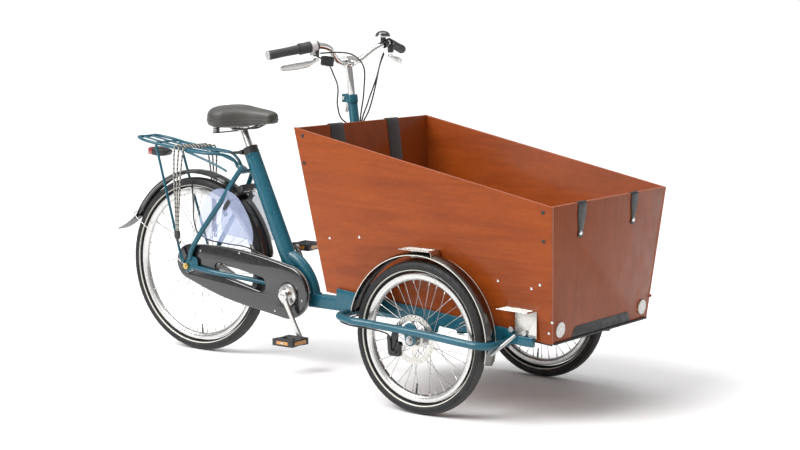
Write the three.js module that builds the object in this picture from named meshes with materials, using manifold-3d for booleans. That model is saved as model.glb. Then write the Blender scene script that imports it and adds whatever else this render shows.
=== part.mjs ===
// Cargo tricycle: a wooden box on a steering carriage with two front wheels, pushed by a bicycle rear half.
// Millimetres, +X forward, +Y to the rider's left, +Z up. Stations along X are counted from the rear axle,
// and the whole assembly is shifted at the end so that the origin is on the ground at mid-length.
import * as THREE from 'three';
import { mergeVertices } from 'three/addons/utils/BufferGeometryUtils.js';
import { ConvexGeometry } from 'three/addons/geometries/ConvexGeometry.js';
import Module from 'manifold-3d';

const wasm = await Module();
wasm.setup();

// ---------- driving dimensions ----------
const GAP = 0.3; // between pieces that touch
const MID_LENGTH = 680; // station of the origin, half-way between the mud flap and the box front

const REAR = { x: 0, y: 0, radius: 326.5, rimRadius: 286, tyreWidth: 46, hubHalf: 34 };
const FRONT = { x: 1285, y: 367, radius: 250, rimRadius: 208.5, tyreWidth: 43, hubHalf: 48 };
const SPOKES = 36;
const WHEEL_SEGMENTS = 24;
const PIVOT_X = 1200; // steering head
const STEER_PIN_RADIUS = 16;

const CRANK = { x: 478, z: 265, length: 168, ringRadius: 77, chainY: -48 };
const SPROCKET_RADIUS = 36.5;
const STAY_Y = 75; // stays outside the dropouts and the chain case

// Box: the bottom falls towards the front, and every wall leans outwards.
const BOX = {
  rearBottom: [846.6, 345],
  rearTop: [768.8, 901.7],
  frontTop: [1768.3, 707.1],
  frontBottom: [1737.1, 269.9],
  halfWidth: 302.6,
  lean: 0.1371,
  wall: 12,
};
const BOX_SLOPE = (BOX.frontBottom[1] - BOX.rearBottom[1]) / (BOX.frontBottom[0] - BOX.rearBottom[0]);
const REAR_LEAN = (BOX.rearTop[0] - BOX.rearBottom[0]) / (BOX.rearTop[1] - BOX.rearBottom[1]);
const FRONT_LEAN = (BOX.frontTop[0] - BOX.frontBottom[0]) / (BOX.frontTop[1] - BOX.frontBottom[1]);
const boxBottom = (x) => BOX.rearBottom[1] + BOX_SLOPE * (x - BOX.rearBottom[0]);
const boxSide = (x, z) => BOX.halfWidth + BOX.lean * (z - boxBottom(x));
const rearWallX = (z) => BOX.rearBottom[0] + REAR_LEAN * (z - BOX.rearBottom[1]);
const frontWallX = (z) => BOX.frontBottom[0] + FRONT_LEAN * (z - BOX.frontBottom[1]);
const columnX = (z) => rearWallX(z) - 36.4;

const PAINT = 0x2f7d9c;
const STEEL = 0xb9bcc0;
const BLACK = 0x16161a;
const RUBBER = 0x202022;
const WOOD = 0xb5602f;

// ---------- shape helpers ----------
const vec = (x, y, z) => new THREE.Vector3(x, y, z);

// A closed surface with merged corners whose faces point outwards.
function closed(geometry) {
  const bare = geometry.clone();
  bare.deleteAttribute('normal');
  bare.deleteAttribute('uv');
  const merged = mergeVertices(bare, 0.0005);
  const p = merged.attributes.position;
  const index = merged.index.array;
  const [a, b, c] = [vec(), vec(), vec()];
  let volume = 0;
  for (let i = 0; i < index.length; i += 3) {
    a.fromBufferAttribute(p, index[i]);
    b.fromBufferAttribute(p, index[i + 1]);
    c.fromBufferAttribute(p, index[i + 2]);
    volume += a.dot(b.cross(c));
  }
  if (volume < 0) {
    for (let i = 0; i < index.length; i += 3) {
      [index[i], index[i + 1]] = [index[i + 1], index[i]];
    }
  }
  return merged;
}

function toSolid(geometry) {
  const g = closed(geometry);
  const vertProperties = new Float32Array(g.attributes.position.array);
  const triVerts = new Uint32Array(g.index.array);
  return new wasm.Manifold(new wasm.Mesh({ numProp: 3, vertProperties, triVerts }));
}

function toGeometry(solid) {
  const mesh = solid.getMesh();
  const g = new THREE.BufferGeometry();
  g.setAttribute('position', new THREE.BufferAttribute(new Float32Array(mesh.vertProperties), 3));
  g.setIndex(new THREE.BufferAttribute(new Uint32Array(mesh.triVerts), 1));
  return g;
}

const join = (...shapes) => toGeometry(shapes.map(toSolid).reduce((sum, s) => sum.add(s)));
const cut = (base, ...tools) => toGeometry(tools.map(toSolid).reduce((rest, s) => rest.subtract(s), toSolid(base)));

// An oval or round section as a polygon: `across` lies along Y on a path in the XZ plane.
function section(across, along, sides) {
  const points = [];
  for (let i = 0; i < sides; i += 1) {
    const angle = (2 * Math.PI * (i + 0.5)) / sides;
    points.push(new THREE.Vector2(across * Math.cos(angle), along * Math.sin(angle)));
  }
  return new THREE.Shape(points);
}

function sweep(shape, path, steps) {
  return new THREE.ExtrudeGeometry(shape, { steps, extrudePath: path, bevelEnabled: false });
}

const curve = (points) => new THREE.CatmullRomCurve3(points, false, 'centripetal');

function tube(points, radius, sides = 10, steps = 16) {
  return sweep(section(radius, radius, sides), curve(points), steps);
}

function rod(a, b, radius, sides = 10) {
  return sweep(section(radius, radius, sides), new THREE.LineCurve3(a, b), 1);
}

function block(dx, dy, dz, x, y, z) {
  return new THREE.BoxGeometry(dx, dy, dz).translate(x, y, z);
}

// A flat piece drawn in XZ, standing between two Y planes.
function plate(shape, yLow, yHigh, curveSegments = 12) {
  const depth = yHigh - yLow;
  const g = new THREE.ExtrudeGeometry(shape, { depth, bevelEnabled: false, curveSegments });
  return g.rotateX(Math.PI / 2).translate(0, yHigh, 0);
}

function disc(radius, sides = 24, x = 0, z = 0) {
  const points = [];
  for (let i = 0; i < sides; i += 1) {
    const angle = (2 * Math.PI * (i + 0.5)) / sides;
    points.push(new THREE.Vector2(x + radius * Math.cos(angle), z + radius * Math.sin(angle)));
  }
  return new THREE.Shape(points);
}

const barrel = (radius, yLow, yHigh, x, z, sides = 16) => plate(disc(radius, sides, x, z), yLow, yHigh);

// A ring turned about the Y axis from a closed outline of [radius, y] corners.
function turned(outline, sides) {
  const points = outline.map(([r, y]) => new THREE.Vector2(r, y));
  points.push(points[0].clone());
  return new THREE.LatheGeometry(points, sides);
}

// The outline round two discs, as a belt lies on two pulleys.
function beltShape(xa, za, ra, xb, zb, rb, arcSteps = 16) {
  const between = Math.atan2(zb - za, xb - xa);
  const tilt = Math.acos((ra - rb) / Math.hypot(xb - xa, zb - za));
  const points = [];
  const arc = (x, z, r, from, to) => {
    for (let i = 0; i <= arcSteps; i += 1) {
      const angle = from + ((to - from) * i) / arcSteps;
      points.push(new THREE.Vector2(x + r * Math.cos(angle), z + r * Math.sin(angle)));
    }
  };
  arc(xa, za, ra, between + tilt, between + 2 * Math.PI - tilt);
  arc(xb, zb, rb, between - tilt, between + tilt);
  return new THREE.Shape(points);
}

const mirrored = (geometry) => closed(geometry.clone().scale(1, -1, 1));
const both = (make) => join(make(1), make(-1));

// ---------- the assembly ----------
const bike = new THREE.Group();
bike.position.x = -MID_LENGTH;

function add(name, geometry, color, metalness, roughness) {
  const surface = closed(geometry);
  surface.computeVertexNormals();
  const mesh = new THREE.Mesh(surface, new THREE.MeshStandardMaterial({ color, metalness, roughness }));
  mesh.name = name;
  bike.add(mesh);
}

function addPair(name, rightGeometry, color, metalness, roughness) {
  add(`${name}_right`, rightGeometry, color, metalness, roughness);
  add(`${name}_left`, mirrored(rightGeometry), color, metalness, roughness);
}

// ---------- wheels ----------
// The tyre is a C-shaped casing, open towards the rim.
function tyre(wheel) {
  const seat = wheel.rimRadius + GAP;
  const half = wheel.tyreWidth / 2;
  const mid = (wheel.radius + seat) / 2 + 2;
  const wall = 3.5;
  const outline = [
    [seat, -11], [mid, -half], [mid + 12, -half * 0.8], [wheel.radius, -half * 0.25],
    [wheel.radius, half * 0.25], [mid + 12, half * 0.8], [mid, half], [seat, 11],
    [mid, half - wall], [wheel.radius - wall - 2, 0], [mid, wall - half],
  ];
  return turned(outline, WHEEL_SEGMENTS);
}

function rim(wheel) {
  const r = wheel.rimRadius;
  const outline = [
    [r, -12.5], [r, -10.5], [r - 7, 0], [r, 10.5], [r, 12.5], [r - 14, 12], [r - 23, 0], [r - 14, -12],
  ];
  return turned(outline, WHEEL_SEGMENTS);
}

// Hub shell with its spokes: each flange carries half of them, leaning forwards and backwards in turn.
function hub(wheel, shell, flangeRadius, flangeY, turn) {
  const pieces = [turned(shell, 12)];
  const rimInside = (wheel.rimRadius - 23) * Math.cos(Math.PI / WHEEL_SEGMENTS) - GAP;
  for (let i = 0; i < SPOKES; i += 1) {
    const side = i % 2 ? 1 : -1;
    const leading = i % 4 < 2 ? 1 : -1;
    const outer = THREE.MathUtils.degToRad(turn + (360 / SPOKES) * i);
    const inner = outer + leading * THREE.MathUtils.degToRad(52);
    const shift = side * flangeY + leading * 1.6;
    const from = vec((flangeRadius - 5) * Math.cos(inner), shift, (flangeRadius - 5) * Math.sin(inner));
    const to = vec(rimInside * Math.cos(outer), 0, rimInside * Math.sin(outer));
    pieces.push(rod(from, to, 1.3, 3));
  }
  return join(...pieces);
}

const rearShell = [
  [7.2, -34], [20, -34], [20, -31], [46, -31], [46, -25], [35, -20], [35, 16], [46, 23], [46, 31], [7.2, 32],
];
const frontShell = [
  [6.4, -48], [12, -48], [29, -32], [29, -25], [17, -20], [17, 18], [29, 24], [29, 31],
  [24, 37], [12, 37], [12, 48], [6.4, 48],
];

function atWheel(geometry, wheel, side = 1) {
  return geometry.translate(wheel.x, side * wheel.y, wheel.radius);
}

add('rear_tyre', atWheel(tyre(REAR), REAR), RUBBER, 0, 0.9);
add('rear_rim', atWheel(rim(REAR), REAR), STEEL, 0.9, 0.3);
add('rear_hub_spokes', atWheel(hub(REAR, rearShell, 46, 27, 7), REAR), STEEL, 0.9, 0.35);

// Brake disc: six arms and a braking band, bolted to the hub's outer flange.
const ROTOR_Y = -39.2;
function brakeRotor() {
  const band = plate(disc(80, 24), -1, 1);
  const holes = [];
  for (let i = 0; i < 6; i += 1) {
    const angle = (Math.PI / 3) * i;
    holes.push(plate(disc(16, 8, 46 * Math.cos(angle), 46 * Math.sin(angle)), -2, 2));
  }
  return cut(band, plate(disc(13, 12), -2, 2), ...holes).translate(0, ROTOR_Y, 0);
}

for (const [name, side] of [['right', -1], ['left', 1]]) {
  const turnedHub = hub(FRONT, frontShell, 29, 28, 0);
  add(`front_tyre_${name}`, atWheel(tyre(FRONT), FRONT, side), RUBBER, 0, 0.9);
  add(`front_rim_${name}`, atWheel(rim(FRONT), FRONT, side), STEEL, 0.9, 0.3);
  add(`front_hub_spokes_${name}`, atWheel(side < 0 ? mirrored(turnedHub) : turnedHub, FRONT, side), STEEL, 0.9, 0.35);
  const rotor = brakeRotor();
  add(`brake_disc_${name}`, atWheel(side < 0 ? rotor : mirrored(rotor), FRONT, side), STEEL, 0.9, 0.35);
}

// ---------- rear frame ----------
const SEAT_TUBE_LEAN = -0.465;
const seatTubeX = (z) => 489 + SEAT_TUBE_LEAN * (z - CRANK.z);
const seatTubePoint = (z) => vec(seatTubeX(z), 0, z);
const HEAD = { outer: 25, bore: 17, low: 206, high: 277 };
const BEAM_Z = 245;

function seatTube() {
  const lower = sweep(section(25, 34, 12), new THREE.LineCurve3(seatTubePoint(275), seatTubePoint(560)), 1);
  const upper = sweep(section(23.5, 31, 12), new THREE.LineCurve3(seatTubePoint(555), seatTubePoint(752)), 1);
  return join(lower, upper);
}

function mainFrame() {
  const beam = block(650, 40, 50, 860, 0, BEAM_Z);
  const gooseneck = tube([
    vec(430, 0, 402), vec(468, 0, 388), vec(504, 0, 361), vec(528, 0, 332),
    vec(545, 0, 300), vec(556, 0, 262), vec(560, 0, 240),
  ], 21, 10, 8);
  const shell = barrel(22, -34, 34, CRANK.x, CRANK.z, 20);
  const heel = block(70, 36, 40, 515, 0, 250);
  const head = new THREE.CylinderGeometry(HEAD.outer, HEAD.outer, HEAD.high - HEAD.low, 20);
  head.rotateX(Math.PI / 2).translate(PIVOT_X, 0, (HEAD.high + HEAD.low) / 2);
  const bore = new THREE.CylinderGeometry(HEAD.bore, HEAD.bore, 120, 24);
  bore.rotateX(Math.PI / 2).translate(PIVOT_X, 0, 240);
  const axleBore = barrel(9.6, -60, 60, CRANK.x, CRANK.z, 20);
  const postBore = rod(seatTubePoint(600), seatTubePoint(800), 14, 16);
  return cut(join(seatTube(), beam, gooseneck, shell, heel, head), bore, axleBore, postBore);
}
add('main_frame', mainFrame(), PAINT, 0.2, 0.35);

const seatStayTube = (s, radius) => tube([
  vec(246, s * 33, 712), vec(228, s * 41, 686), vec(204, s * 50, 648), vec(166, s * 60, 585),
  vec(116, s * 68, 518), vec(69, s * 73, 455), vec(22, s * STAY_Y, 378), vec(14, s * STAY_Y, 352),
], radius, 8, 9);

// Seat stays, chain stays and dropouts: a chevron on each side, tied by a bridge over the wheel.
function rearStays() {
  const side = (s) => {
    const seatStay = seatStayTube(s, 9.5);
    const chainStay = tube([
      vec(26, s * STAY_Y, 326), vec(70, s * STAY_Y, 322), vec(136, s * STAY_Y, 315), vec(250, s * 49, 303),
      vec(360, s * 26, 290), vec(428, s * 22.5, 284),
    ], 9.5, 8, 8);
    const dropout = cut(
      plate(beltShape(0, REAR.radius, 20, 30, 340, 24, 8), 0, 6),
      plate(disc(6.4, 16, 0, REAR.radius), -1, 7),
    );
    return join(seatStay, chainStay, dropout.translate(0, s > 0 ? 68.4 : -74.4, 0));
  };
  const bridge = rod(vec(229, -40, 690), vec(229, 40, 690), 8, 8);
  const lowBridge = rod(vec(392, -25, 290), vec(392, 25, 290), 8, 8);
  const raw = join(side(1), side(-1), bridge, lowBridge);
  const clearance = sweep(section(26, 34.5, 16), new THREE.LineCurve3(seatTubePoint(262), seatTubePoint(790)), 1);
  return cut(raw, clearance);
}
add('rear_stays', rearStays(), PAINT, 0.2, 0.35);

// Fixed rear axle with its nuts, and the drum brake unit keyed to its left end.
function rearAxle() {
  const spindle = barrel(6, -90, 90, 0, REAR.radius, 8);
  const nuts = both((s) => plate(disc(12.5, 6, 0, REAR.radius), s > 0 ? 74.9 : -84.9, s > 0 ? 84.9 : -74.9));
  const cones = both((s) => barrel(12, s > 0 ? 62 : -68, s > 0 ? 68 : -62, 0, REAR.radius, 10));
  return join(spindle, nuts, cones);
}
add('rear_axle', rearAxle(), STEEL, 0.9, 0.35);

function drumBrake() {
  const drum = barrel(47, 34, 58, 0, REAR.radius, 20);
  const arm = plate(beltShape(0, REAR.radius, 26, 118, 290, 9, 8), 52, 57);
  return cut(join(drum, arm), barrel(12.6, 30, 70, 0, REAR.radius));
}
add('drum_brake', drumBrake(), STEEL, 0.7, 0.45);

// ---------- rear mudguard and flap ----------
class WheelArc extends THREE.Curve {
  constructor(x, y, z, radius, fromDeg, toDeg) {
    super();
    Object.assign(this, { x, y, z, radius, fromDeg, toDeg });
  }

  getPoint(t, target = vec()) {
    const angle = THREE.MathUtils.degToRad(this.fromDeg + (this.toDeg - this.fromDeg) * t);
    return target.set(this.x + this.radius * Math.cos(angle), this.y, this.z + this.radius * Math.sin(angle));
  }
}

// A crowned strip: the middle stands `crown` higher than its edges.
function guardSection(half, crown, thickness) {
  const outer = [];
  const inner = [];
  for (let i = 0; i <= 4; i += 1) {
    const across = -1 + i / 2;
    const rise = -crown * across * across;
    outer.push(new THREE.Vector2(half * across, rise));
    inner.unshift(new THREE.Vector2((half - thickness) * across, rise - thickness));
  }
  return new THREE.Shape([...outer, ...inner]);
}

// The section's second axis points to the wheel centre or away from it, so the strip is laid by hand.
function wheelGuard(wheel, side, radius, half, crown, thickness, fromDeg, toDeg, steps) {
  const path = new WheelArc(wheel.x, side * wheel.y, wheel.radius, radius, fromDeg, toDeg);
  const frames = path.computeFrenetFrames(1, false);
  const outward = vec(Math.cos(THREE.MathUtils.degToRad(fromDeg)), 0, Math.sin(THREE.MathUtils.degToRad(fromDeg)));
  const sign = Math.sign(frames.binormals[0].dot(outward));
  const shape = new THREE.Shape(
    guardSection(half, crown, thickness).getPoints().map((p) => new THREE.Vector2(p.x, sign * p.y)),
  );
  return sweep(shape, path, steps);
}

add('rear_mudguard', wheelGuard(REAR, 0, 357, 29, 12, 2, 9, 154, 15), BLACK, 0.1, 0.3);

function mudFlap() {
  const strap = new THREE.Shape([
    new THREE.Vector2(-316, 478.8), new THREE.Vector2(-408, 423), new THREE.Vector2(-410, 426),
    new THREE.Vector2(-321.5, 482.8),
  ]);
  return plate(strap, -33, 33);
}
add('mud_flap', mudFlap(), 0x3a3a3c, 0, 0.8);

// ---------- drive ----------
function crankArm(y, dx, dz) {
  const arm = plate(beltShape(CRANK.x, CRANK.z, 20, CRANK.x + dx, CRANK.z + dz, 11, 8), y - 5.5, y + 5.5);
  const out = Math.sign(y);
  const spindle = barrel(4.5, Math.min(y, y + out * 105), Math.max(y, y + out * 105), CRANK.x + dx, CRANK.z + dz, 10);
  return join(arm, spindle);
}
const CRANK_DX = 80;
const CRANK_DZ = -Math.sqrt(CRANK.length ** 2 - CRANK_DX ** 2);
const ARM_Y = 88;

function crankset() {
  const axle = barrel(8.5, -94, 94, CRANK.x, CRANK.z, 16);
  const spider = barrel(36, CRANK.chainY - 9, CRANK.chainY - 1, CRANK.x, CRANK.z, 20);
  const ring = barrel(CRANK.ringRadius, CRANK.chainY - 1, CRANK.chainY + 2, CRANK.x, CRANK.z, 20);
  return join(axle, spider, ring, crankArm(-ARM_Y, CRANK_DX, CRANK_DZ), crankArm(ARM_Y, -CRANK_DX, -CRANK_DZ));
}

add('crankset', crankset(), STEEL, 0.9, 0.3);
add('sprocket', cut(
  barrel(SPROCKET_RADIUS, CRANK.chainY - 1.5, CRANK.chainY + 1.5, 0, REAR.radius, 18),
  barrel(9, -60, -40, 0, REAR.radius, 16),
), STEEL, 0.8, 0.4);

function chain() {
  const loop = (extra) => beltShape(
    CRANK.x, CRANK.z, CRANK.ringRadius + extra, 0, REAR.radius, SPROCKET_RADIUS + extra, 11,
  );
  const around = plate(loop(6), CRANK.chainY - 4, CRANK.chainY + 4);
  return cut(around, plate(loop(1.7), CRANK.chainY - 6, CRANK.chainY + 6));
}
add('chain', chain(), 0x55504a, 0.8, 0.5);

// Chain case: a flat shell round chain and chainring, with a slot that lets the right chain stay through.
function chainCaseOutline(inset) {
  const shape = new THREE.Shape();
  shape.absarc(470, 272, 97 - inset, -1.75, 1.45, false);
  shape.quadraticCurveTo(230, 425 - inset, 40, 408 - inset);
  shape.absarc(4, 341, 66 - inset, 1.45, 4.4, false);
  shape.lineTo(130, 232 + inset);
  return shape;
}

function caseSlot(grow) {
  return beltShape(150, 328, 21 + grow, 347, 291, 25 + grow, 7);
}

function chainCase() {
  const [low, high] = [-64, -36.4];
  const hollow = cut(plate(chainCaseOutline(0), low, high, 8), plate(chainCaseOutline(3), low + 2, high - 2, 8));
  const lined = join(hollow, plate(caseSlot(2), low, high));
  return cut(
    lined,
    plate(caseSlot(0), low - 5, high + 5),
    barrel(42, low - 5, high - 5, CRANK.x, CRANK.z, 18),
    barrel(27, high - 5, high + 5, CRANK.x, CRANK.z, 14),
    barrel(25, low - 5, high + 5, 0, REAR.radius, 14),
  );
}
add('chain_case', chainCase(), BLACK, 0.1, 0.2);

function pedal(side) {
  const [x, z] = [CRANK.x - side * CRANK_DX, CRANK.z - side * CRANK_DZ];
  const y = side * (ARM_Y + 57);
  const body = join(
    block(92, 12, 26, x, y - 40, z), block(92, 12, 26, x, y + 40, z),
    block(16, 90, 22, x - 38, y, z), block(16, 90, 22, x + 38, y, z), barrel(10, y - 44, y + 44, x, z, 12),
  );
  return cut(body, barrel(5.2, y - 60, y + 60, x, z, 12));
}
add('pedal_right', pedal(-1), BLACK, 0, 0.6);
add('pedal_left', pedal(1), BLACK, 0, 0.6);

// ---------- saddle, post and clamp ----------
const CLAMP_Z = 752;
const axisTilt = Math.atan(-SEAT_TUBE_LEAN);
const alongSeatTube = (g, z) => g.rotateX(Math.PI / 2).rotateY(-axisTilt).translate(seatTubeX(z), 0, z);

function seatPost() {
  const post = rod(seatTubePoint(640), seatTubePoint(846), 13.2, 16);
  const head = barrel(20, -22, 22, seatTubeX(856), 856, 14);
  return join(post, head);
}
add('seat_post', seatPost(), STEEL, 0.9, 0.25);

function seatClamp() {
  const ring = cut(new THREE.CylinderGeometry(28, 29, 26, 12), new THREE.CylinderGeometry(13.8, 13.8, 40, 12));
  const collar = alongSeatTube(ring, CLAMP_Z + 16);
  const ears = block(26, 18, 18, seatTubeX(CLAMP_Z + 16) - 36, 0, CLAMP_Z + 8);
  return cut(join(collar, ears), rod(seatTubePoint(700), seatTubePoint(860), 13.8, 16));
}
add('seat_clamp', seatClamp(), BLACK, 0.4, 0.4);

const LEVER_PIVOT = [seatTubeX(CLAMP_Z + 16) - 36, CLAMP_Z + 8];
function seatLever() {
  const [x, z] = LEVER_PIVOT;
  return plate(beltShape(x, z, 8, x - 44, z - 6, 5, 6), -18, -11);
}
add('seat_clamp_lever', seatLever(), STEEL, 0.8, 0.3);

const SADDLE = { rear: 100, nose: 372, low: 878, high: 932, half: 105 };
function saddle() {
  const outline = new THREE.Shape();
  outline.moveTo(SADDLE.rear, 0);
  outline.bezierCurveTo(SADDLE.rear, -70, 120, -SADDLE.half, 165, -SADDLE.half);
  outline.bezierCurveTo(225, -100, 245, -32, 330, -28);
  outline.quadraticCurveTo(SADDLE.nose, -24, SADDLE.nose, 0);
  outline.quadraticCurveTo(SADDLE.nose, 24, 330, 28);
  outline.bezierCurveTo(245, 32, 225, 100, 165, SADDLE.half);
  outline.bezierCurveTo(120, SADDLE.half, SADDLE.rear, 70, SADDLE.rear, 0);
  const depth = SADDLE.high - SADDLE.low;
  const pad = new THREE.ExtrudeGeometry(outline, { depth, bevelEnabled: false, curveSegments: 8 });
  return pad.translate(0, 0, SADDLE.low);
}
add('saddle', saddle(), RUBBER, 0, 0.7);

function saddleRails() {
  const rails = both((s) => tube([
    vec(135, s * 44, 873), vec(175, s * 30, 852), vec(215, s * 27, 846), vec(265, s * 24, 850), vec(325, s * 12, 873),
  ], 3.6, 6, 8));
  const ties = [block(14, 100, 5, 135, 0, 875), block(14, 34, 5, 325, 0, 875)];
  return join(rails, ...ties);
}
add('saddle_rails', cut(saddleRails(), barrel(20.5, -23, 23, seatTubeX(856), 856, 14)), 0x2a2a2c, 0.5, 0.4);

// ---------- rack ----------
const rackZ = (x) => 756 - (x - 20) * 0.082 + 14 * ((x - 20) / 280) ** 2;
function rack() {
  const rail = (s) => tube([
    vec(-262, s * 4, rackZ(-262) + 2), vec(-262, s * 50, rackZ(-262)), vec(-240, s * 62, rackZ(-240)),
    vec(-120, s * 64, rackZ(-120)), vec(0, s * 64, rackZ(0)), vec(80, s * 60, rackZ(80)),
    vec(125, s * 40, 750), vec(160, s * 20, 742), vec(186, s * 12, 726), vec(200, s * 12, 706), vec(222, s * 12, 694),
  ], 6, 6, 15);
  const rails = both(rail);
  const strut = both((s) => rod(vec(-158, s * 66, rackZ(-158)), vec(-21, s * 79.5, 350), 6.5, 6));
  const tie = both((s) => tube([
    vec(-10, s * 63, 754), vec(55, s * 61, 736), vec(120, s * 59, 716), vec(160, s * 57, 702), vec(186, s * 56, 692),
  ], 5, 6, 5));
  const cross = [-170, -60, 70].map((x) => rod(vec(x, -62, rackZ(x) - 1), vec(x, 62, rackZ(x) - 1), 4.5, 6));
  const slats = [-22, 22].map((y) => rod(vec(-262, y, rackZ(-262)), vec(125, y, rackZ(125) - 2), 4, 6));
  const rearEnd = rod(vec(-262, -8, rackZ(-262) + 2), vec(-262, 8, rackZ(-262) + 2), 6, 6);
  return join(rails, strut, tie, ...cross, ...slats, rearEnd);
}

// The rack's feet and ties stop short of the stays, the dropouts and the axle nuts.
function rearStaysClearance() {
  const stays = both((s) => seatStayTube(s, 10.3));
  const bridge = rod(vec(229, -52, 690), vec(229, 52, 690), 8.5, 10);
  const axle = barrel(15, -92, 92, 0, REAR.radius, 16);
  const dropouts = both((s) => plate(beltShape(0, REAR.radius, 21, 30, 340, 25, 8), s > 0 ? 67 : -75, s > 0 ? 75 : -67));
  return join(stays, bridge, axle, dropouts);
}
add('rear_rack', cut(rack(), rearStaysClearance()), PAINT, 0.2, 0.35);

function rackStrap() {
  const lift = (x) => rackZ(x) + 9;
  const path = curve([
    vec(-34, -88, 425), vec(-34, -88, 560), vec(-32, -86, 700), vec(-31, -83, 752), vec(-30, -78, lift(-30) + 2),
    vec(-27, -60, lift(-27) + 7), vec(-20, 0, lift(-20) + 6), vec(-13, 60, lift(-13) + 7), vec(-11, 78, lift(-11) + 2),
    vec(-9, 83, 752), vec(-8, 86, 700), vec(-6, 88, 560), vec(-6, 88, 440),
  ]);
  return sweep(section(13, 2.6, 6), path, 22);
}
add('rack_strap', rackStrap(), RUBBER, 0, 0.8);

function tailLight() {
  const body = new THREE.Shape();
  body.moveTo(-236, 724);
  body.lineTo(-176, 722);
  body.quadraticCurveTo(-150, 728, -146, 748);
  body.lineTo(-236, 756);
  return plate(body, -32, 32);
}
add('tail_light', tailLight(), 0x7a1512, 0, 0.3);

// ---------- ring lock ----------
// It straddles the wheel in front of the stays. The shackle turns inside the horseshoe and closes its mouth.
const LOCK = { angle: 52, centre: 307, inner: 53, outer: 67, shackle: 60, wireRadius: 4, thick: 17 };
const lockTurn = THREE.MathUtils.degToRad(LOCK.angle);

// Lock shapes are drawn flat: first axis away from the wheel centre, second axis across the wheel.
function placeLock(geometry) {
  const basis = new THREE.Matrix4().makeBasis(
    vec(Math.cos(lockTurn), 0, Math.sin(lockTurn)),
    vec(0, 1, 0),
    vec(-Math.sin(lockTurn), 0, Math.cos(lockTurn)),
  );
  const centre = vec(LOCK.centre * Math.cos(lockTurn), 0, REAR.radius + LOCK.centre * Math.sin(lockTurn));
  return geometry.applyMatrix4(basis.setPosition(centre));
}

function flatSector(inner, outer, fromDeg, toDeg, half, steps) {
  const points = [];
  const [from, to] = [THREE.MathUtils.degToRad(fromDeg), THREE.MathUtils.degToRad(toDeg)];
  for (let i = 0; i <= steps; i += 1) {
    const angle = from + ((to - from) * i) / steps;
    points.push(new THREE.Vector2(outer * Math.cos(angle), outer * Math.sin(angle)));
  }
  for (let i = steps; i >= 0; i -= 1) {
    const angle = from + ((to - from) * i) / steps;
    points.push(new THREE.Vector2(inner * Math.cos(angle), inner * Math.sin(angle)));
  }
  const g = new THREE.ExtrudeGeometry(new THREE.Shape(points), { depth: 2 * half, bevelEnabled: false });
  return g.translate(0, 0, -half);
}

class FlatArc extends THREE.Curve {
  constructor(radius, fromDeg, toDeg) {
    super();
    Object.assign(this, { radius, fromDeg, toDeg });
  }

  getPoint(t, target = vec()) {
    const angle = THREE.MathUtils.degToRad(this.fromDeg + (this.toDeg - this.fromDeg) * t);
    return target.set(this.radius * Math.cos(angle), this.radius * Math.sin(angle), 0);
  }
}

function ringLock() {
  const shell = flatSector(LOCK.inner, LOCK.outer, -145, 145, LOCK.thick / 2, 20);
  const housing = block(34, 84, 26, 74, 0, -2);
  const hollow = cut(housing, new THREE.CylinderGeometry(LOCK.inner, LOCK.inner, 60, 22).rotateX(Math.PI / 2));
  const channel = sweep(section(5.2, 5.2, 8), new FlatArc(LOCK.shackle, -160, 150), 26);
  const leverSlot = flatSector(56, 74, 60, 156, 2.8, 9);
  return placeLock(cut(join(shell, hollow), channel, leverSlot));
}
add('ring_lock', ringLock(), BLACK, 0.2, 0.4);

function lockShackle() {
  const wire = sweep(section(LOCK.wireRadius, LOCK.wireRadius, 6), new FlatArc(LOCK.shackle, -28, 138), 16);
  const knob = flatSector(61, 78, 64, 70, 2, 2);
  return placeLock(join(wire, knob));
}
add('lock_shackle', lockShackle(), STEEL, 0.9, 0.25);

// ---------- steering carriage ----------
const RAIL = { rear: 897, front: 1655, outer: 312.8, above: 23, below: -22 };
const TIE_Z = 296;
const REAR_TIE_Z = 300;

// A bar that follows the fall of the box bottom, between two Y planes and two heights over it.
function slopedBar(x0, x1, yLow, yHigh, low, high) {
  const corners = [];
  for (const x of [x0, x1]) {
    for (const y of [yLow, yHigh]) {
      corners.push(vec(x, y, boxBottom(x) + low), vec(x, y, boxBottom(x) + high));
    }
  }
  return new ConvexGeometry(corners);
}

function carriageFrame() {
  const rail = (s) => {
    const web = [306.9, RAIL.outer].map((y) => s * y).sort((a, b) => a - b);
    const flange = [272, RAIL.outer].map((y) => s * y).sort((a, b) => a - b);
    const dropout = plate(beltShape(FRONT.x, FRONT.radius, 20, FRONT.x, 296, 34, 8), web[0], web[1]);
    return join(
      slopedBar(RAIL.rear, RAIL.front, ...web, RAIL.below, RAIL.above),
      slopedBar(RAIL.rear, RAIL.front, ...flange, RAIL.below, -1),
      dropout,
    );
  };
  const rearTie = rod(vec(985, -299, REAR_TIE_Z), vec(985, 299, REAR_TIE_Z), 13, 12);
  const headTie = block(70, 560, 26, PIVOT_X, 0, TIE_Z);
  const frontTie = block(40, 560, 24, 1600, 0, boxBottom(1600) - 14);
  const tail = block(205, 40, 20, 900, 0, 300);
  const pin = new THREE.CylinderGeometry(STEER_PIN_RADIUS, STEER_PIN_RADIUS, 100, 24);
  pin.rotateX(Math.PI / 2).translate(PIVOT_X, 0, 245);
  const foot = new THREE.CylinderGeometry(23, 23, 9, 20).rotateX(Math.PI / 2).translate(PIVOT_X, 0, 199.5);
  const axleHoles = both((s) => barrel(6.5, s > 0 ? 300 : -320, s > 0 ? 320 : -300, FRONT.x, FRONT.radius));
  return cut(join(both(rail), rearTie, headTie, frontTie, tail, pin, foot), axleHoles);
}
add('carriage_frame', carriageFrame(), PAINT, 0.2, 0.35);

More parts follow.
